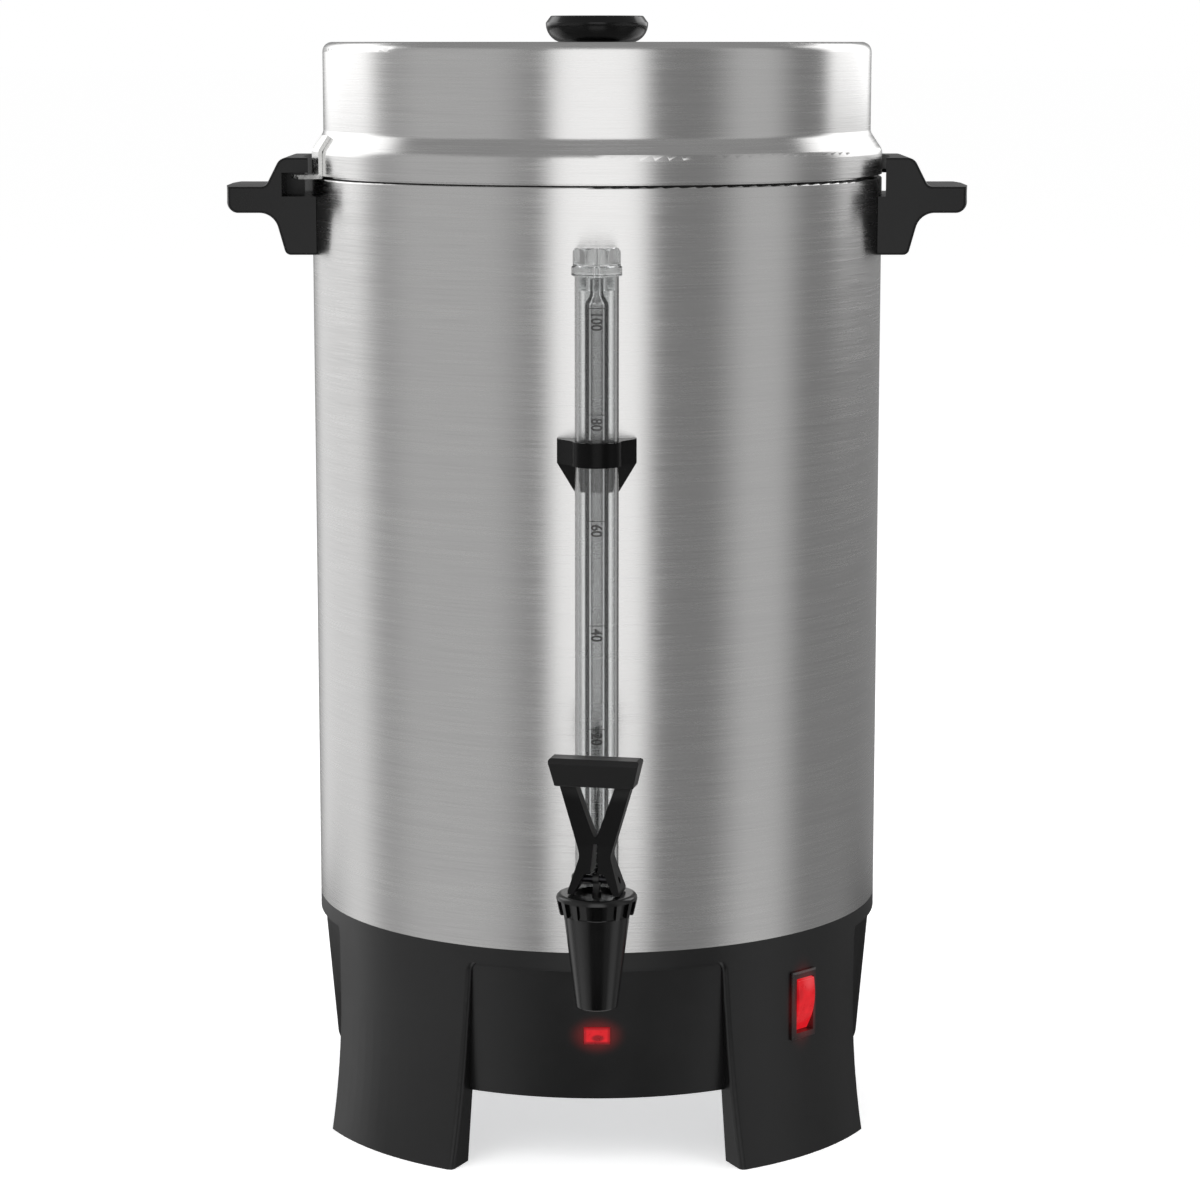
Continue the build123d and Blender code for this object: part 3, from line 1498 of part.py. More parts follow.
def make_valve_cage():
    """Three fingers under the bell that keep the valve disc below the tube."""
    low = seat_height() - valve_travel - 3.0
    rail = ring(valve_radius - 1.5, valve_radius + 1.5, low - 1.0, low)
    inner = valve_radius + moving_gap
    finger = block((inner, -1.2, low - 0.5), (valve_radius + 1.5, 1.2, seat_height() + 1.6))
    cage = rail
    for item in at_azimuths((60.0, 180.0, 300.0), finger):
        cage += item
    top = ring(stem_tube_radius + running_gap, valve_radius + 1.5, seat_height() + 0.6, seat_height() + 1.6)
    return cage + top


def make_pump_valve():
    low = seat_height() - valve_travel - 3.0
    return ring(0, valve_radius, low, low + 2.6)


def make_stem_collar():
    low = basket_bottom - collar_ring_height
    return ring(stem_tube_radius + running_gap, collar_ring_radius, low, basket_bottom)


def perforations(low, high):
    drill = Pos(0, 0, (low + high) / 2) * Cylinder(hole_radius, high - low)
    holes = []
    for ring_index in range(hole_ring_count):
        radius = hole_circle + ring_index * hole_ring_step
        count = int(2 * pi * radius / hole_pitch)
        azimuths = [360 * index / count for index in range(count)]
        holes += at_azimuths(azimuths, Pos(radius, 0, 0) * drill)
    return holes


def make_basket():
    top = basket_bottom + basket_height
    outer = turned([
        (sleeve_radius, basket_bottom),
        (basket_radius, basket_bottom, 4.0),
        (basket_radius, top),
        (sleeve_radius, top),
    ])
    inner = turned([
        (sleeve_radius + sheet, basket_floor),
        (basket_radius - sheet, basket_floor, 4.0 - sheet),
        (basket_radius - sheet, top + 1),
        (sleeve_radius + sheet, top + 1),
    ])
    roll_radius = basket_radius - sheet + basket_rim / 2
    rolled = Pos(0, 0, top - basket_rim / 2) * Torus(roll_radius, basket_rim / 2)
    sleeve = ring(sleeve_radius, sleeve_radius + sheet, top - 1, top + basket_sleeve_top - basket_rim)
    basket = outer - inner + rolled + sleeve
    return basket - perforations(basket_bottom - 1, basket_floor + 1)


def make_spreader():
    top = basket_bottom + basket_height
    seat = top + close_gap
    floor = top - spreader_drop
    lip = basket_radius - sheet + basket_rim
    wall = basket_radius - sheet - moving_gap
    hub = sleeve_radius + sheet + moving_gap
    plate = turned([
        (hub, floor),
        (wall, floor, 2.0),
        (wall, seat, 0.6),
        (lip, seat),
        (lip, seat + sheet),
        (wall - sheet, seat + sheet, 0.6 + sheet),
        (wall - sheet, floor + sheet, 2.0 - sheet),
        (hub, floor + sheet),
    ])
    return plate - perforations(floor - 1, floor + sheet + 1)


# ---------------------------------------------------------------- all pieces
os.makedirs("parts", exist_ok=True)

write("vessel", make_vessel())
write("vessel_studs", make_vessel_studs())
write("vessel_nuts", make_vessel_nuts())
write("stud_washers", make_stud_washers())
write("earth_lug", make_earth_lug())
write("base_skirt", make_base_skirt())
write("bottom_cover", make_bottom_cover())
write("bottom_cover_screws", make_bottom_cover_screws())
write("heater_ring", make_heater_ring())
write("heater_terminals", make_heater_terminals())
write("heater_clamp", make_heater_clamp())
write("thermostat", make_thermostat())
write("thermal_fuse", make_thermal_fuse())
write("lamp_lens", make_lamp_lens())
write("lamp_holder", make_lamp_holder())
write("switch_housing", make_switch_housing())
write("switch_rocker", make_switch_rocker())
write("switch_terminals", make_switch_terminals())
write("inlet_socket", make_inlet_socket())
write("inlet_pins", make_inlet_pins())
write("wiring", make_wiring())
write("handle_right", make_handle(0.0))
write("handle_left", make_handle(180.0))
write("handle_inserts", make_handle_inserts())
write("handle_screws", make_handle_screws())
write("cover_shell", make_cover_shell())
write("cover_lock_tabs", make_cover_lock_tabs())
write("knob_washer", make_knob_washer())
write("cover_knob", make_cover_knob())
write("knob_screw", make_knob_screw())
write("gauge_shield", make_gauge_shield())
write("gauge_glass", make_gauge_glass())
write("gauge_seal", make_gauge_seal())
write("gauge_cap", make_gauge_cap())
write("gauge_clip", make_gauge_clip())
write("gauge_rivet", make_gauge_rivet())
write("tap_shank", make_tap_shank())
write("shank_nut", make_shank_nut())
write("shank_outer_seal", make_outer_seal())
write("shank_inner_seal", make_inner_seal())
write("tap_gasket", make_tap_gasket())
write("tap_body", make_tap_body())
write("tap_collar", make_tap_collar())
write("tap_stem", make_tap_stem())
write("tap_valve_cup", make_valve_cup())
write("tap_spring", make_tap_spring())
write("tap_lever", make_tap_lever())
write("lever_pin", make_lever_pin())
write("pump_foot", make_pump_foot())
write("stem_tube", make_stem_tube())
write("valve_cage", make_valve_cage())
write("pump_valve", make_pump_valve())
write("stem_collar", make_stem_collar())
write("basket", make_basket())
write("spreader", make_spreader())
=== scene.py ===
"""Looks of the coffee urn: finishes, gauge numbers, lit parts, floor, light and camera."""

import json
import math

import bpy
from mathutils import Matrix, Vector


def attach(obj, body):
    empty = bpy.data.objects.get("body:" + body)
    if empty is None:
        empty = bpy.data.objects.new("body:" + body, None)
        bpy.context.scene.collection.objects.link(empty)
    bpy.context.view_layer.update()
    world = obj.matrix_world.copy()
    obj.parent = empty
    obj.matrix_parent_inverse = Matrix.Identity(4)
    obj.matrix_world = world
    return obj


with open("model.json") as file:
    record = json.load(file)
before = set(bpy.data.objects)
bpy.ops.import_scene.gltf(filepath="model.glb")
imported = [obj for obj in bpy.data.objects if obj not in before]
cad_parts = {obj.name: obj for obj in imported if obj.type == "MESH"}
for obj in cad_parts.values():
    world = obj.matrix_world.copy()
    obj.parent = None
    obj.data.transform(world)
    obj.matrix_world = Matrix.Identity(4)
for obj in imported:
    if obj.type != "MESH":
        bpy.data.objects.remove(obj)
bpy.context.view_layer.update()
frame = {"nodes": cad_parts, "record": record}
nodes = frame["nodes"]


# ---------------------------------------------------------------- node helpers
def add(tree, kind, inputs=None, **settings):
    """A shader node with its settings, and its sockets set or linked."""
    made = tree.nodes.new(kind)
    for key, value in settings.items():
        setattr(made, key, value)
    for key, value in (inputs or {}).items():
        socket = made.inputs[key]
        if isinstance(value, bpy.types.NodeSocket):
            tree.links.new(value, socket)
        else:
            socket.default_value = value
    return made


def grey(value, tint=(1.0, 1.0, 1.0)):
    return (value * tint[0], value * tint[1], value * tint[2], 1.0)


class Finish:
    """A material with one principled shader, and the textures that feed it."""

    def __init__(self, name, **constants):
        self.material = bpy.data.materials.new(name)
        self.material.use_nodes = True
        self.tree = self.material.node_tree
        self.shader = self.tree.nodes["Principled BSDF"]
        for key, value in constants.items():
            self.shader.inputs[key.replace("_", " ")].default_value = value
        self.place = add(self.tree, "ShaderNodeTexCoord").outputs["Object"]

    def link(self, socket, name):
        self.tree.links.new(socket, self.shader.inputs[name])

    def scaled(self, scale):
        made = add(self.tree, "ShaderNodeMapping", {"Vector": self.place, "Scale": scale})
        return made.outputs["Vector"]

    def radius(self):
        flat = self.scaled((1, 1, 0))
        made = add(self.tree, "ShaderNodeVectorMath", {0: flat}, operation="LENGTH")
        return made.outputs["Value"]

    def noise(self, scale, detail=3.0, rough=0.55, w=None):
        inputs = {"Vector": self.scaled(scale), "Scale": 1.0, "Detail": detail, "Roughness": rough}
        settings = {}
        if w is not None:
            inputs["W"] = w
            settings["noise_dimensions"] = "4D"
        return add(self.tree, "ShaderNodeTexNoise", inputs, **settings).outputs["Fac"]

    def spread(self, value, low, high, start=0.3, end=0.7):
        made = add(
            self.tree,
            "ShaderNodeMapRange",
            {"Value": value, "From Min": start, "From Max": end, "To Min": low, "To Max": high},
        )
        return made.outputs["Result"]

    def blend(self, factor, first, second):
        made = add(self.tree, "ShaderNodeMix", {"Factor": factor}, data_type="RGBA")
        colours = [socket for socket in made.inputs if socket.type == "RGBA"]
        for socket, value in zip(colours, (first, second)):
            if isinstance(value, bpy.types.NodeSocket):
                self.tree.links.new(value, socket)
            else:
                socket.default_value = value
        return next(socket for socket in made.outputs if socket.type == "RGBA")

    def maths(self, operation, first, second):
        made = add(self.tree, "ShaderNodeMath", {0: first, 1: second}, operation=operation)
        return made.outputs["Value"]

    def bump(self, height, strength, distance):
        made = add(
            self.tree,
            "ShaderNodeBump",
            {"Height": height, "Strength": strength, "Distance": distance},
        )
        self.link(made.outputs["Normal"], "Normal")


# ---------------------------------------------------------------- finishes
def brushed_steel(name, colour, rough, streak=1.0):
    """Steel brushed round the urn's axis, on walls and on flat tops alike."""
    finish = Finish(name, Metallic=1.0, Anisotropic=0.7, Anisotropic_Rotation=0.25)
    across = finish.maths("MULTIPLY", finish.radius(), 1300.0)
    fine = finish.noise((24, 24, 1300), 4.0, 0.65, across)
    broad = finish.noise((5, 5, 160), 3.0, 0.6, finish.maths("MULTIPLY", finish.radius(), 160.0))
    both = finish.maths("ADD", finish.maths("MULTIPLY", fine, 0.75), finish.maths("MULTIPLY", broad, 0.25))
    finish.link(finish.spread(both, rough - 0.05, rough + 0.07), "Roughness")
    dark = tuple(channel * (1 - 0.09 * streak) for channel in colour[:3]) + (1.0,)
    light = tuple(min(1.0, channel * (1 + 0.06 * streak)) for channel in colour[:3]) + (1.0,)
    finish.link(finish.blend(finish.spread(both, 0.0, 1.0), dark, light), "Base Color")
    finish.bump(fine, 0.12 * streak, 0.0002)
    tangent = add(finish.tree, "ShaderNodeTangent", direction_type="RADIAL", axis="Z")
    finish.link(tangent.outputs["Tangent"], "Tangent")
    return finish


def black_plastic(name, level, rough, grain=0.1, pitch=1500.0, shine=0.5, tint=(1.0, 1.0, 1.03)):
    """Moulded black plastic with a fine grain and faint rubbed areas."""
    finish = Finish(name, Specular_IOR_Level=shine)
    fine = finish.noise((pitch, pitch, pitch), 2.0)
    rubbed = finish.noise((18, 18, 14), 4.0, 0.6)
    finish.link(finish.spread(rubbed, rough - 0.05, rough + 0.06), "Roughness")
    colours = (grey(level * 0.8, tint), grey(level * 1.25, tint))
    finish.link(finish.blend(finish.spread(rubbed, 0.0, 1.0), *colours), "Base Color")
    finish.bump(fine, grain, 0.0001)
    return finish


def plain_metal(name, colour, rough, grain=(300, 300, 300), strength=0.1):
    finish = Finish(name, Metallic=1.0)
    cloud = finish.noise(grain, 4.0, 0.6)
    finish.link(finish.spread(cloud, rough - 0.08, rough + 0.1), "Roughness")
    dark = tuple(channel * 0.86 for channel in colour) + (1.0,)
    light = tuple(min(1.0, channel * 1.06) for channel in colour) + (1.0,)
    finish.link(finish.blend(finish.spread(cloud, 0.0, 1.0), dark, light), "Base Color")
    finish.bump(cloud, strength, 0.0001)
    return finish


def clear_plastic(name, colour, ior, rough):
    finish = Finish(name, Transmission_Weight=1.0, IOR=ior, Base_Color=colour)
    lines = finish.noise((900, 900, 3), 2.0)
    finish.link(finish.spread(lines, rough, rough + 0.05), "Roughness")
    finish.bump(lines, 0.03, 0.0001)
    return finish


def tube_glass(name):
    """Thin clear tube: nearly clear where it faces the eye, dark along its outlines."""
    finish = Finish(name)
    tree = finish.tree
    lines = finish.noise((900, 900, 3), 2.0)
    turn = add(tree, "ShaderNodeLayerWeight", {"Blend": 0.5}).outputs["Facing"]
    shade = finish.blend(finish.spread(turn, 0.0, 1.0, 0.12, 0.85), grey(0.94), grey(0.28, (1.0, 1.02, 1.02)))
    through = add(tree, "ShaderNodeBsdfTransparent", {"Color": shade})
    sheen = add(tree, "ShaderNodeBsdfAnisotropic", {"Roughness": finish.spread(lines, 0.02, 0.08)})
    share = add(tree, "ShaderNodeFresnel", {"IOR": 1.45})
    layers = {"Fac": share.outputs[0], 1: through.outputs[0], 2: sheen.outputs[0]}
    mixed = add(tree, "ShaderNodeMixShader", layers)
    tree.links.new(mixed.outputs[0], tree.nodes["Material Output"].inputs["Surface"])
    tree.nodes.remove(finish.shader)
    return finish


def near(finish, centre, stretch, inner, outer):
    """One at a place on the urn, falling softly to nothing at the outer distance."""
    away = add(finish.tree, "ShaderNodeVectorMath", {0: finish.place, 1: centre}, operation="SUBTRACT")
    sized = add(finish.tree, "ShaderNodeVectorMath", {0: away.outputs[0], 1: stretch}, operation="MULTIPLY")
    far = add(finish.tree, "ShaderNodeVectorMath", {0: sized.outputs[0]}, operation="LENGTH")
    span = {"From Min": inner, "From Max": outer, "To Min": 1.0, "To Max": 0.0}
    inputs = {"Value": far.outputs["Value"], **span}
    kind = "ShaderNodeMapRange"
    return add(finish.tree, kind, inputs, interpolation_type="SMOOTHSTEP").outputs["Result"]


def lit_plastic(name, spots):
    """Translucent red lens lit from behind, with darker or paler spots given by place: painted highlight and
    painted shade on the rocker, darker spots on the lamp.
    """
    finish = Finish(name, Emission_Strength=1.0, Specular_IOR_Level=0.3, Base_Color=(0.06, 0.002, 0.003, 1.0))
    cloud = finish.noise((260, 260, 260), 3.0)
    finish.link(finish.spread(cloud, 0.24, 0.38), "Roughness")
    glow = finish.blend(finish.spread(cloud, 0.0, 1.0), (0.56, 0.007, 0.012, 1.0), (0.7, 0.011, 0.018, 1.0))
    for colour, share, place in spots:
        factor = finish.maths("MULTIPLY", near(finish, *place), share)
        glow = finish.blend(factor, glow, colour)
    finish.link(glow, "Emission Color")
    finish.bump(cloud, 0.05, 0.0001)
    return finish


def paddle_painted_light(finish):
    """Painted light: the paddle's front is painted a little paler than the rest of the lever."""
    base = finish.shader.inputs["Base Color"].links[0].from_socket
    factor = near(finish, (0.0, -0.192, 0.2), (0.3, 1.0, 1.0), 0.009, 0.014)
    finish.link(finish.blend(factor, base, grey(0.016)), "Base Color")
    return finish


def red_halo(finish):
    """Faint red light that the lamp and the rocker throw on the black round them."""
    lamp = near(finish, LAMP, (0.72, 0.4, 1.0), 0.0035, 0.0115)
    rocker = near(finish, ROCKER, (1.0, 1.0, 0.5), 0.004, 0.0135)
    both = finish.maths("ADD", finish.maths("POWER", lamp, 1.8), finish.maths("POWER", rocker, 2.2))
    finish.shader.inputs["Emission Color"].default_value = (1.0, 0.05, 0.05, 1.0)
    finish.link(finish.maths("MULTIPLY", both, 0.1), "Emission Strength")
    return finish


def plain_plastic(name, colour, rough, grain=600.0):
    finish = Finish(name)
    cloud = finish.noise((grain, grain, grain), 4.0)
    finish.link(finish.spread(cloud, rough - 0.06, rough + 0.08), "Roughness")
    dark = tuple(channel * 0.88 for channel in colour) + (1.0,)
    finish.link(finish.blend(finish.spread(cloud, 0.0, 1.0), dark, tuple(colour) + (1.0,)), "Base Color")
    finish.bump(cloud, 0.08, 0.0001)
    return finish


LAMP = (0.0, -0.130, 0.0656)
ROCKER = (0.0955, -0.0955, 0.071)
DARK_RED = (0.16, 0.003, 0.006, 1.0)
# Paler red for painted highlights on the rocker.
HIGHLIGHT_RED = (0.84, 0.16, 0.17, 1.0)
# A darker spot near the lamp lens's centre, and painted shade along its four edges.
LAMP_SPOT_AND_EDGE_SHADE = (
    (DARK_RED, 0.85, ((0.0004, -0.131, 0.0646), (0.6, 0.2, 1.1), 0.0010, 0.0022)),
    (DARK_RED, 0.95, ((0.0, -0.131, 0.0611), (0.1, 0.2, 1.0), 0.0012, 0.0024)),
    (DARK_RED, 0.7, ((0.0, -0.131, 0.0701), (0.1, 0.2, 1.0), 0.0010, 0.0022)),
    (DARK_RED, 0.6, ((0.0064, -0.131, 0.0656), (1.0, 0.2, 0.1), 0.0010, 0.0021)),
    (DARK_RED, 0.6, ((-0.0064, -0.131, 0.0656), (1.0, 0.2, 0.1), 0.0010, 0.0021)),
)
# Painted highlights in paler red at the rocker's top and bottom, and painted shade in darker red near its
# upper left.
ROCKER_HIGHLIGHT_AND_SHADE = (
    (HIGHLIGHT_RED, 0.4, ((0.0965, -0.0935, 0.0815), (1.0, 1.0, 1.0), 0.001, 0.0065)),
    (HIGHLIGHT_RED, 0.5, ((0.0960, -0.0960, 0.0595), (1.0, 1.0, 1.0), 0.0005, 0.0028)),
    (DARK_RED, 0.5, ((0.0925, -0.0990, 0.0765), (1.0, 1.0, 0.6), 0.0008, 0.0035)),
)

FINISHES = {
    "stainless": brushed_steel("stainless", (0.64, 0.635, 0.63), 0.24),
    "base_black": red_halo(black_plastic("base_black", 0.0065, 0.34, shine=0.45)),
    "handle_black": black_plastic("handle_black", 0.005, 0.26, 0.06, shine=0.26),
    "knob_black": black_plastic("knob_black", 0.003, 0.17, 0.03, shine=0.35),
    "tap_black": black_plastic("tap_black", 0.0025, 0.19, 0.03, shine=0.5),
    "inlet_black": red_halo(black_plastic("inlet_black", 0.010, 0.35)),
    "holder_nylon": plain_plastic("holder_nylon", (0.75, 0.74, 0.7), 0.45),
    "clear_tube": clear_plastic("clear_tube", (0.945, 0.955, 0.955, 1.0), 1.49, 0.02),
    "gauge_glass": tube_glass("gauge_glass"),
    "lamp_red": lit_plastic("lamp_red", LAMP_SPOT_AND_EDGE_SHADE),
    "rocker_red": lit_plastic("rocker_red", ROCKER_HIGHLIGHT_AND_SHADE),
    "seal_rubber": plain_plastic("seal_rubber", (0.55, 0.55, 0.53), 0.6),
    "plated_steel": plain_metal("plated_steel", (0.66, 0.66, 0.65), 0.22),
    "zinc_sheet": plain_metal("zinc_sheet", (0.5, 0.51, 0.53), 0.42, (90, 90, 90)),
    "heater_metal": plain_metal("heater_metal", (0.5, 0.5, 0.5), 0.5),
    "brass_parts": plain_metal("brass_parts", (0.75, 0.56, 0.24), 0.28),
    "control_ceramic": plain_plastic("control_ceramic", (0.72, 0.68, 0.6), 0.5),
    "wire_white": plain_plastic("wire_white", (0.78, 0.78, 0.76), 0.7, 1500.0),
    "knob_washer_fibre": plain_plastic("knob_washer_fibre", (0.12, 0.11, 0.1), 0.7),
    "stem_acetal": plain_plastic("stem_acetal", (0.012, 0.012, 0.012), 0.35),
    "percolator_aluminium": plain_metal("percolator_aluminium", (0.72, 0.72, 0.73), 0.34),
}

# Pieces whose moulding or plating differs a little from the rest of their kind; the lever's front also has a
# painted lighter patch.
NODE_FINISHES = {
    "tap_lever": paddle_painted_light(black_plastic("lever_black", 0.003, 0.3, 0.05, shine=0.12)),
    "gauge_clip": black_plastic("clip_black", 0.002, 0.24, 0.04, shine=0.1),
    "lever_pin": plain_metal("pin_steel", (0.05, 0.05, 0.055), 0.35),
}

for part in frame["record"]["subparts"]:
    mesh = nodes[part["node"]].data
    mesh.materials.clear()
    finish = NODE_FINISHES.get(part["node"], FINISHES[part["material_slot"]])
    mesh.materials.append(finish.material)


# ---------------------------------------------------------------- gauge print
GAUGE_Y = -0.1467
PRINT_RADIUS = 0.00965
DIGIT_HEIGHT = 0.0052
DIGIT_WIDTH = 0.0041
DIGIT_WEIGHT = 0.022     # how far the outline is thickened
LINE_GAP = 0.0015        # from a number up to its level line
LINE_REACH = 0.0038      # half the line's length
LINE_HALF = 0.00013      # half the line's thickness
LINE_STEPS = 10
MARKS = (("100", 0.3910), ("80", 0.3463), ("60", 0.3000), ("40", 0.2539), ("20", 0.2078))


def on_shield(across, height, lift=0.0):
    """Point on the shield's front, from flat print coordinates."""
    angle = across / PRINT_RADIUS
    reach = PRINT_RADIUS + lift
    return (reach * math.sin(angle), GAUGE_Y - reach * math.cos(angle), height)


def flat_text(text):
    """Outline of the digits as flat vertices and faces, centred, one unit tall."""
    curve = bpy.data.curves.new("digits", "FONT")
    curve.body = text
    curve.align_x = "CENTER"
    curve.resolution_u = 4
    curve.offset = DIGIT_WEIGHT
    holder = bpy.data.objects.new("digits", curve)
    mesh = bpy.data.meshes.new_from_object(holder)
    points = [vertex.co.copy() for vertex in mesh.vertices]
    faces = [tuple(face.vertices) for face in mesh.polygons]
    bpy.data.objects.remove(holder)
    bpy.data.curves.remove(curve)
    bpy.data.meshes.remove(mesh)
    top = max(point.y for point in points)
    low = min(point.y for point in points)
    return [((point.x / (top - low)), (point.y - low) / (top - low) - 0.5) for point in points], faces


def print_ink():
    finish = Finish("gauge_ink", Roughness=0.5)
    cloud = finish.noise((2500, 2500, 2500), 3.0)
    finish.link(finish.blend(finish.spread(cloud, 0.0, 1.0), grey(0.025), grey(0.07)), "Base Color")
    finish.link(finish.spread(cloud, 0.4, 0.6), "Roughness")
    finish.bump(cloud, 0.05, 0.0001)
    return finish.material


def make_gauge_print(ink):
    """Plain cup numbers that read down the gauge, each under a short level line."""
    verts, faces = [], []
    for text, height in MARKS:
        points, shapes = flat_text(text)
        start = len(verts)
        for along, up in points:
            verts.append(on_shield(up * DIGIT_HEIGHT, height - along * DIGIT_WIDTH))
        faces += [tuple(start + index for index in shape) for shape in shapes]
        start = len(verts)
        line = height + max(point[0] for point in points) * DIGIT_WIDTH + LINE_GAP
        for index in range(LINE_STEPS + 1):
            across = -LINE_REACH + 2 * LINE_REACH * index / LINE_STEPS
            verts += [on_shield(across, line - LINE_HALF), on_shield(across, line + LINE_HALF)]
        for index in range(LINE_STEPS):
            first = start + 2 * index
            faces.append((first, first + 2, first + 3, first + 1))
    mesh = bpy.data.meshes.new("gauge_print")
    mesh.from_pydata(verts, [], faces)
    mesh.materials.append(ink)
    piece = bpy.data.objects.new("gauge_print", mesh)
    bpy.context.scene.collection.objects.link(piece)
    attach(piece, "urn")
    return piece


make_gauge_print(print_ink())


# ---------------------------------------------------------------- studio
def emission_material(name, colour, strength):
    material = bpy.data.materials.new(name)
    material.use_nodes = True
    tree = material.node_tree
    tree.nodes.remove(tree.nodes["Principled BSDF"])
    glow = add(tree, "ShaderNodeEmission", {"Color": colour, "Strength": strength})
    tree.links.new(glow.outputs[0], tree.nodes["Material Output"].inputs["Surface"])
    return material, tree, glow


def unseen_card(card):
    """Only glossy rays meet a card, so it shapes reflections and nothing else."""
    card.visible_camera = False
    card.visible_diffuse = False
    card.visible_shadow = False
    card.visible_transmission = False
    return card


def curved_card(name, azimuth, half_width, low, high, radius, steps=24):
    """An upright card bent round the urn's axis. Azimuth 0 stands at the camera's side."""
    mesh = bpy.data.meshes.new(name)
    verts, faces = [], []
    for index in range(steps + 1):
        angle = math.radians(azimuth - half_width + 2 * half_width * index / steps - 90)
        x, y = radius * math.cos(angle), radius * math.sin(angle)
        verts += [(x, y, low), (x, y, high)]
    for index in range(steps):
        first = 2 * index
        faces.append((first, first + 2, first + 3, first + 1))
    mesh.from_pydata(verts, [], faces)
    layer = mesh.uv_layers.new(name="card")
    for loop in mesh.loops:
        index = loop.vertex_index
        layer.data[loop.index].uv = (index // 2 / steps, index % 2)
    card = bpy.data.objects.new(name, mesh)
    bpy.context.scene.collection.objects.link(card)
    return unseen_card(card)


def make_ceiling(strength):
    """Grey ceiling that the upward faces reflect in place of the white world."""
    mesh = bpy.data.meshes.new("ceiling")
    steps = 48
    radius, height = 1.32, 1.58
    turns = [2 * math.pi * index / steps for index in range(steps)]
    verts = [(radius * math.cos(turn), radius * math.sin(turn), height) for turn in turns]
    mesh.from_pydata(verts, [], [tuple(range(steps))])
    mesh.materials.append(emission_material("ceiling", grey(1.0), strength)[0])
    ceiling = bpy.data.objects.new("ceiling", mesh)
    bpy.context.scene.collection.objects.link(ceiling)
    unseen_card(ceiling)


def soft_panel(name, azimuth, half_width, strength, low=-0.9, high=1.3, edge=0.3, fade=0.08, radius=1.0):
    """A reflected panel whose brightness falls off softly at its sides and ends."""
    card = curved_card(name, azimuth, half_width, low, high, radius)
    material, tree, glow = emission_material(name, (1, 1, 1, 1), strength)
    place = add(tree, "ShaderNodeUVMap", uv_map="card").outputs["UV"]
    parts = add(tree, "ShaderNodeSeparateXYZ", {"Vector": place})

    def ease(socket, start, end):
        inputs = {"Value": socket, "From Min": start, "From Max": end, "To Min": 0.0, "To Max": 1.0}
        kind = "ShaderNodeMapRange"
        return add(tree, kind, inputs, interpolation_type="SMOOTHSTEP").outputs["Result"]

    sides = [ease(parts.outputs["X"], 0.0, edge), ease(parts.outputs["X"], 1.0, 1.0 - edge)]
    ends = [ease(parts.outputs["Y"], 0.0, fade), ease(parts.outputs["Y"], 1.0, 1.0 - fade)]
    share = sides[0]
    for socket in (sides[1], *ends):
        share = add(tree, "ShaderNodeMath", {0: share, 1: socket}, operation="MULTIPLY").outputs[0]
    clear = add(tree, "ShaderNodeBsdfTransparent")
    mixed = add(tree, "ShaderNodeMixShader", {"Fac": share, 1: clear.outputs[0], 2: glow.outputs[0]})
    tree.links.new(mixed.outputs[0], tree.nodes["Material Output"].inputs["Surface"])
    card.data.materials.append(material)
    return card


def make_studio():
    wall = curved_card("studio_wall", 0, 180, -1.4, 1.6, 1.3, 96)
    wall.data.materials.append(emission_material("studio_wall", grey(1.0), 0.27)[0])
    make_ceiling(0.35)
    soft_panel("panel_front", 0.5, 23.5, 1.38, low=-0.21, edge=0.22)
    soft_panel("dark_flag", 0, 32, 0.02, low=-1.2, high=-0.2, edge=0.25, fade=0.05, radius=0.97)
    soft_panel("dark_back", 180, 70, 0.02, low=-1.2, high=-0.1, edge=0.2, fade=0.05, radius=0.97)
    soft_panel("low_left", -62, 26, 0.9, low=-1.0, high=-0.24, edge=0.4, radius=0.98)
    soft_panel("low_right", 62, 22, 0.8, low=-1.0, high=-0.24, edge=0.4, radius=0.98)
    soft_panel("wash_left", -62, 50, 0.44, edge=0.3, radius=1.02)
    soft_panel("panel_left", -57, 35, 0.57, edge=0.3)
    soft_panel("panel_left_rim", -123, 38, 0.9, edge=0.3, radius=1.01)
    soft_panel("panel_right", 65, 24, 0.6, edge=0.4)
    soft_panel("panel_right_rim", 129, 30, 1.9, low=0.40, high=1.3, edge=0.2, fade=0.12)
    soft_panel("panel_left_rim_high", -126, 33, 1.9, low=0.40, high=1.3, edge=0.25, fade=0.12)


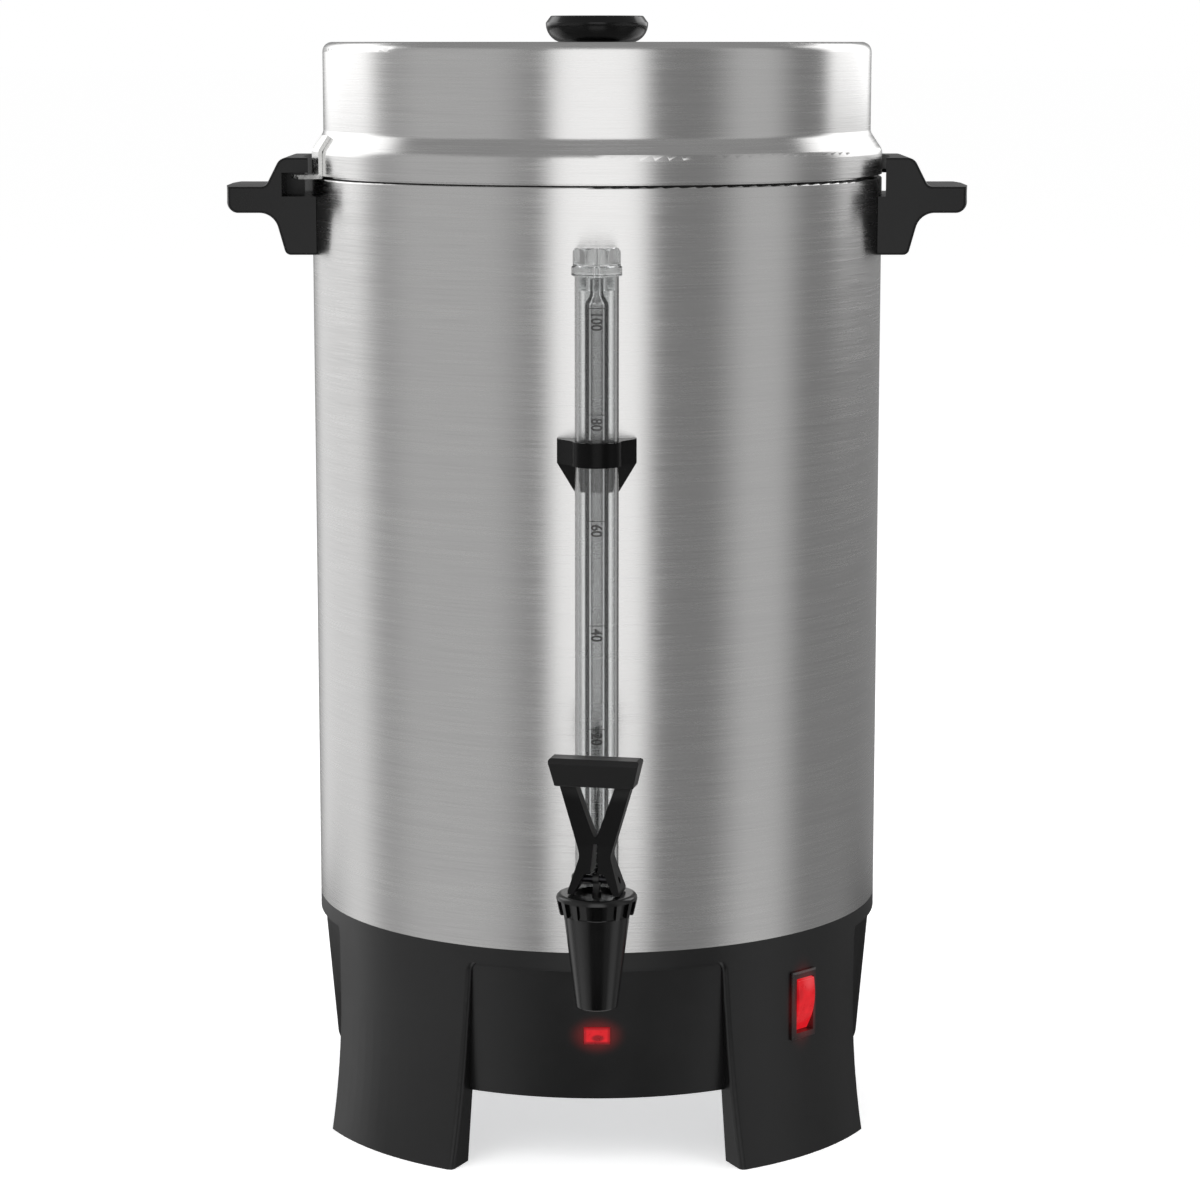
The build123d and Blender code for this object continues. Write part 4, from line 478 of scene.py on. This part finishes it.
def make_floor():
    mesh = bpy.data.meshes.new("floor")
    size = 60.0
    corners = [(-size, -size, 0), (size, -size, 0), (size, size, 0), (-size, size, 0)]
    mesh.from_pydata(corners, [], [(0, 1, 2, 3)])
    floor = bpy.data.objects.new("floor", mesh)
    bpy.context.scene.collection.objects.link(floor)
    floor.visible_glossy = False
    material = bpy.data.materials.new("floor")
    material.use_nodes = True
    tree = material.node_tree
    shader = tree.nodes["Principled BSDF"]
    shader.inputs["Base Color"].default_value = grey(0.9)
    shader.inputs["Roughness"].default_value = 0.9
    shader.inputs["Specular IOR Level"].default_value = 0.0
    seen = add(tree, "ShaderNodeLightPath").outputs["Is Camera Ray"]
    faint = add(tree, "ShaderNodeMath", {0: seen, 1: 0.5}, operation="MULTIPLY")
    shader.inputs["Emission Color"].default_value = grey(1.0)
    tree.links.new(faint.outputs[0], shader.inputs["Emission Strength"])
    mesh.materials.append(material)


def make_world():
    world = bpy.data.worlds.new("studio")
    bpy.context.scene.world = world
    world.use_nodes = True
    tree = world.node_tree
    background = tree.nodes["Background"]
    background.inputs["Color"].default_value = grey(1.0)
    path = add(tree, "ShaderNodeLightPath")
    seen = path.outputs["Is Camera Ray"]
    for name in ("Is Glossy Ray", "Is Transmission Ray"):
        seen = add(tree, "ShaderNodeMath", {0: seen, 1: path.outputs[name]}, operation="MAXIMUM").outputs[0]
    strength = add(
        tree,
        "ShaderNodeMapRange",
        {"Value": seen, "From Min": 0.0, "From Max": 1.0, "To Min": 0.55, "To Max": 1.0},
    )
    tree.links.new(strength.outputs["Result"], background.inputs["Strength"])


def area_light(name, place, target, size, power, glossy=False):
    data = bpy.data.lights.new(name, "AREA")
    data.shape = "RECTANGLE"
    data.size, data.size_y = size
    data.energy = power
    lamp = bpy.data.objects.new(name, data)
    bpy.context.scene.collection.objects.link(lamp)
    lamp.location = place
    lamp.rotation_euler = (Vector(target) - Vector(place)).to_track_quat("-Z", "Y").to_euler()
    lamp.visible_glossy = glossy
    return lamp


def make_camera():
    data = bpy.data.cameras.new("camera")
    data.sensor_width = 36.0
    data.lens = 104.85
    camera = bpy.data.objects.new("camera", data)
    bpy.context.scene.collection.objects.link(camera)
    camera.location = (0.0014, -1.660, 0.5105)
    looks_down = 9.1
    camera.rotation_euler = (math.radians(90 - looks_down), 0, 0)
    bpy.context.scene.camera = camera


make_studio()
make_floor()
make_world()
area_light("key", (-1.2, -1.6, 1.9), (0, 0, 0.25), (1.4, 1.4), 18)
area_light("fill", (1.5, -1.2, 1.5), (0, 0, 0.25), (1.2, 1.2), 10)
area_light("top", (0, 0.3, 2.4), (0, 0, 0.3), (1.6, 1.6), 14)
make_camera()
bpy.context.scene.view_settings.view_transform = "Standard"
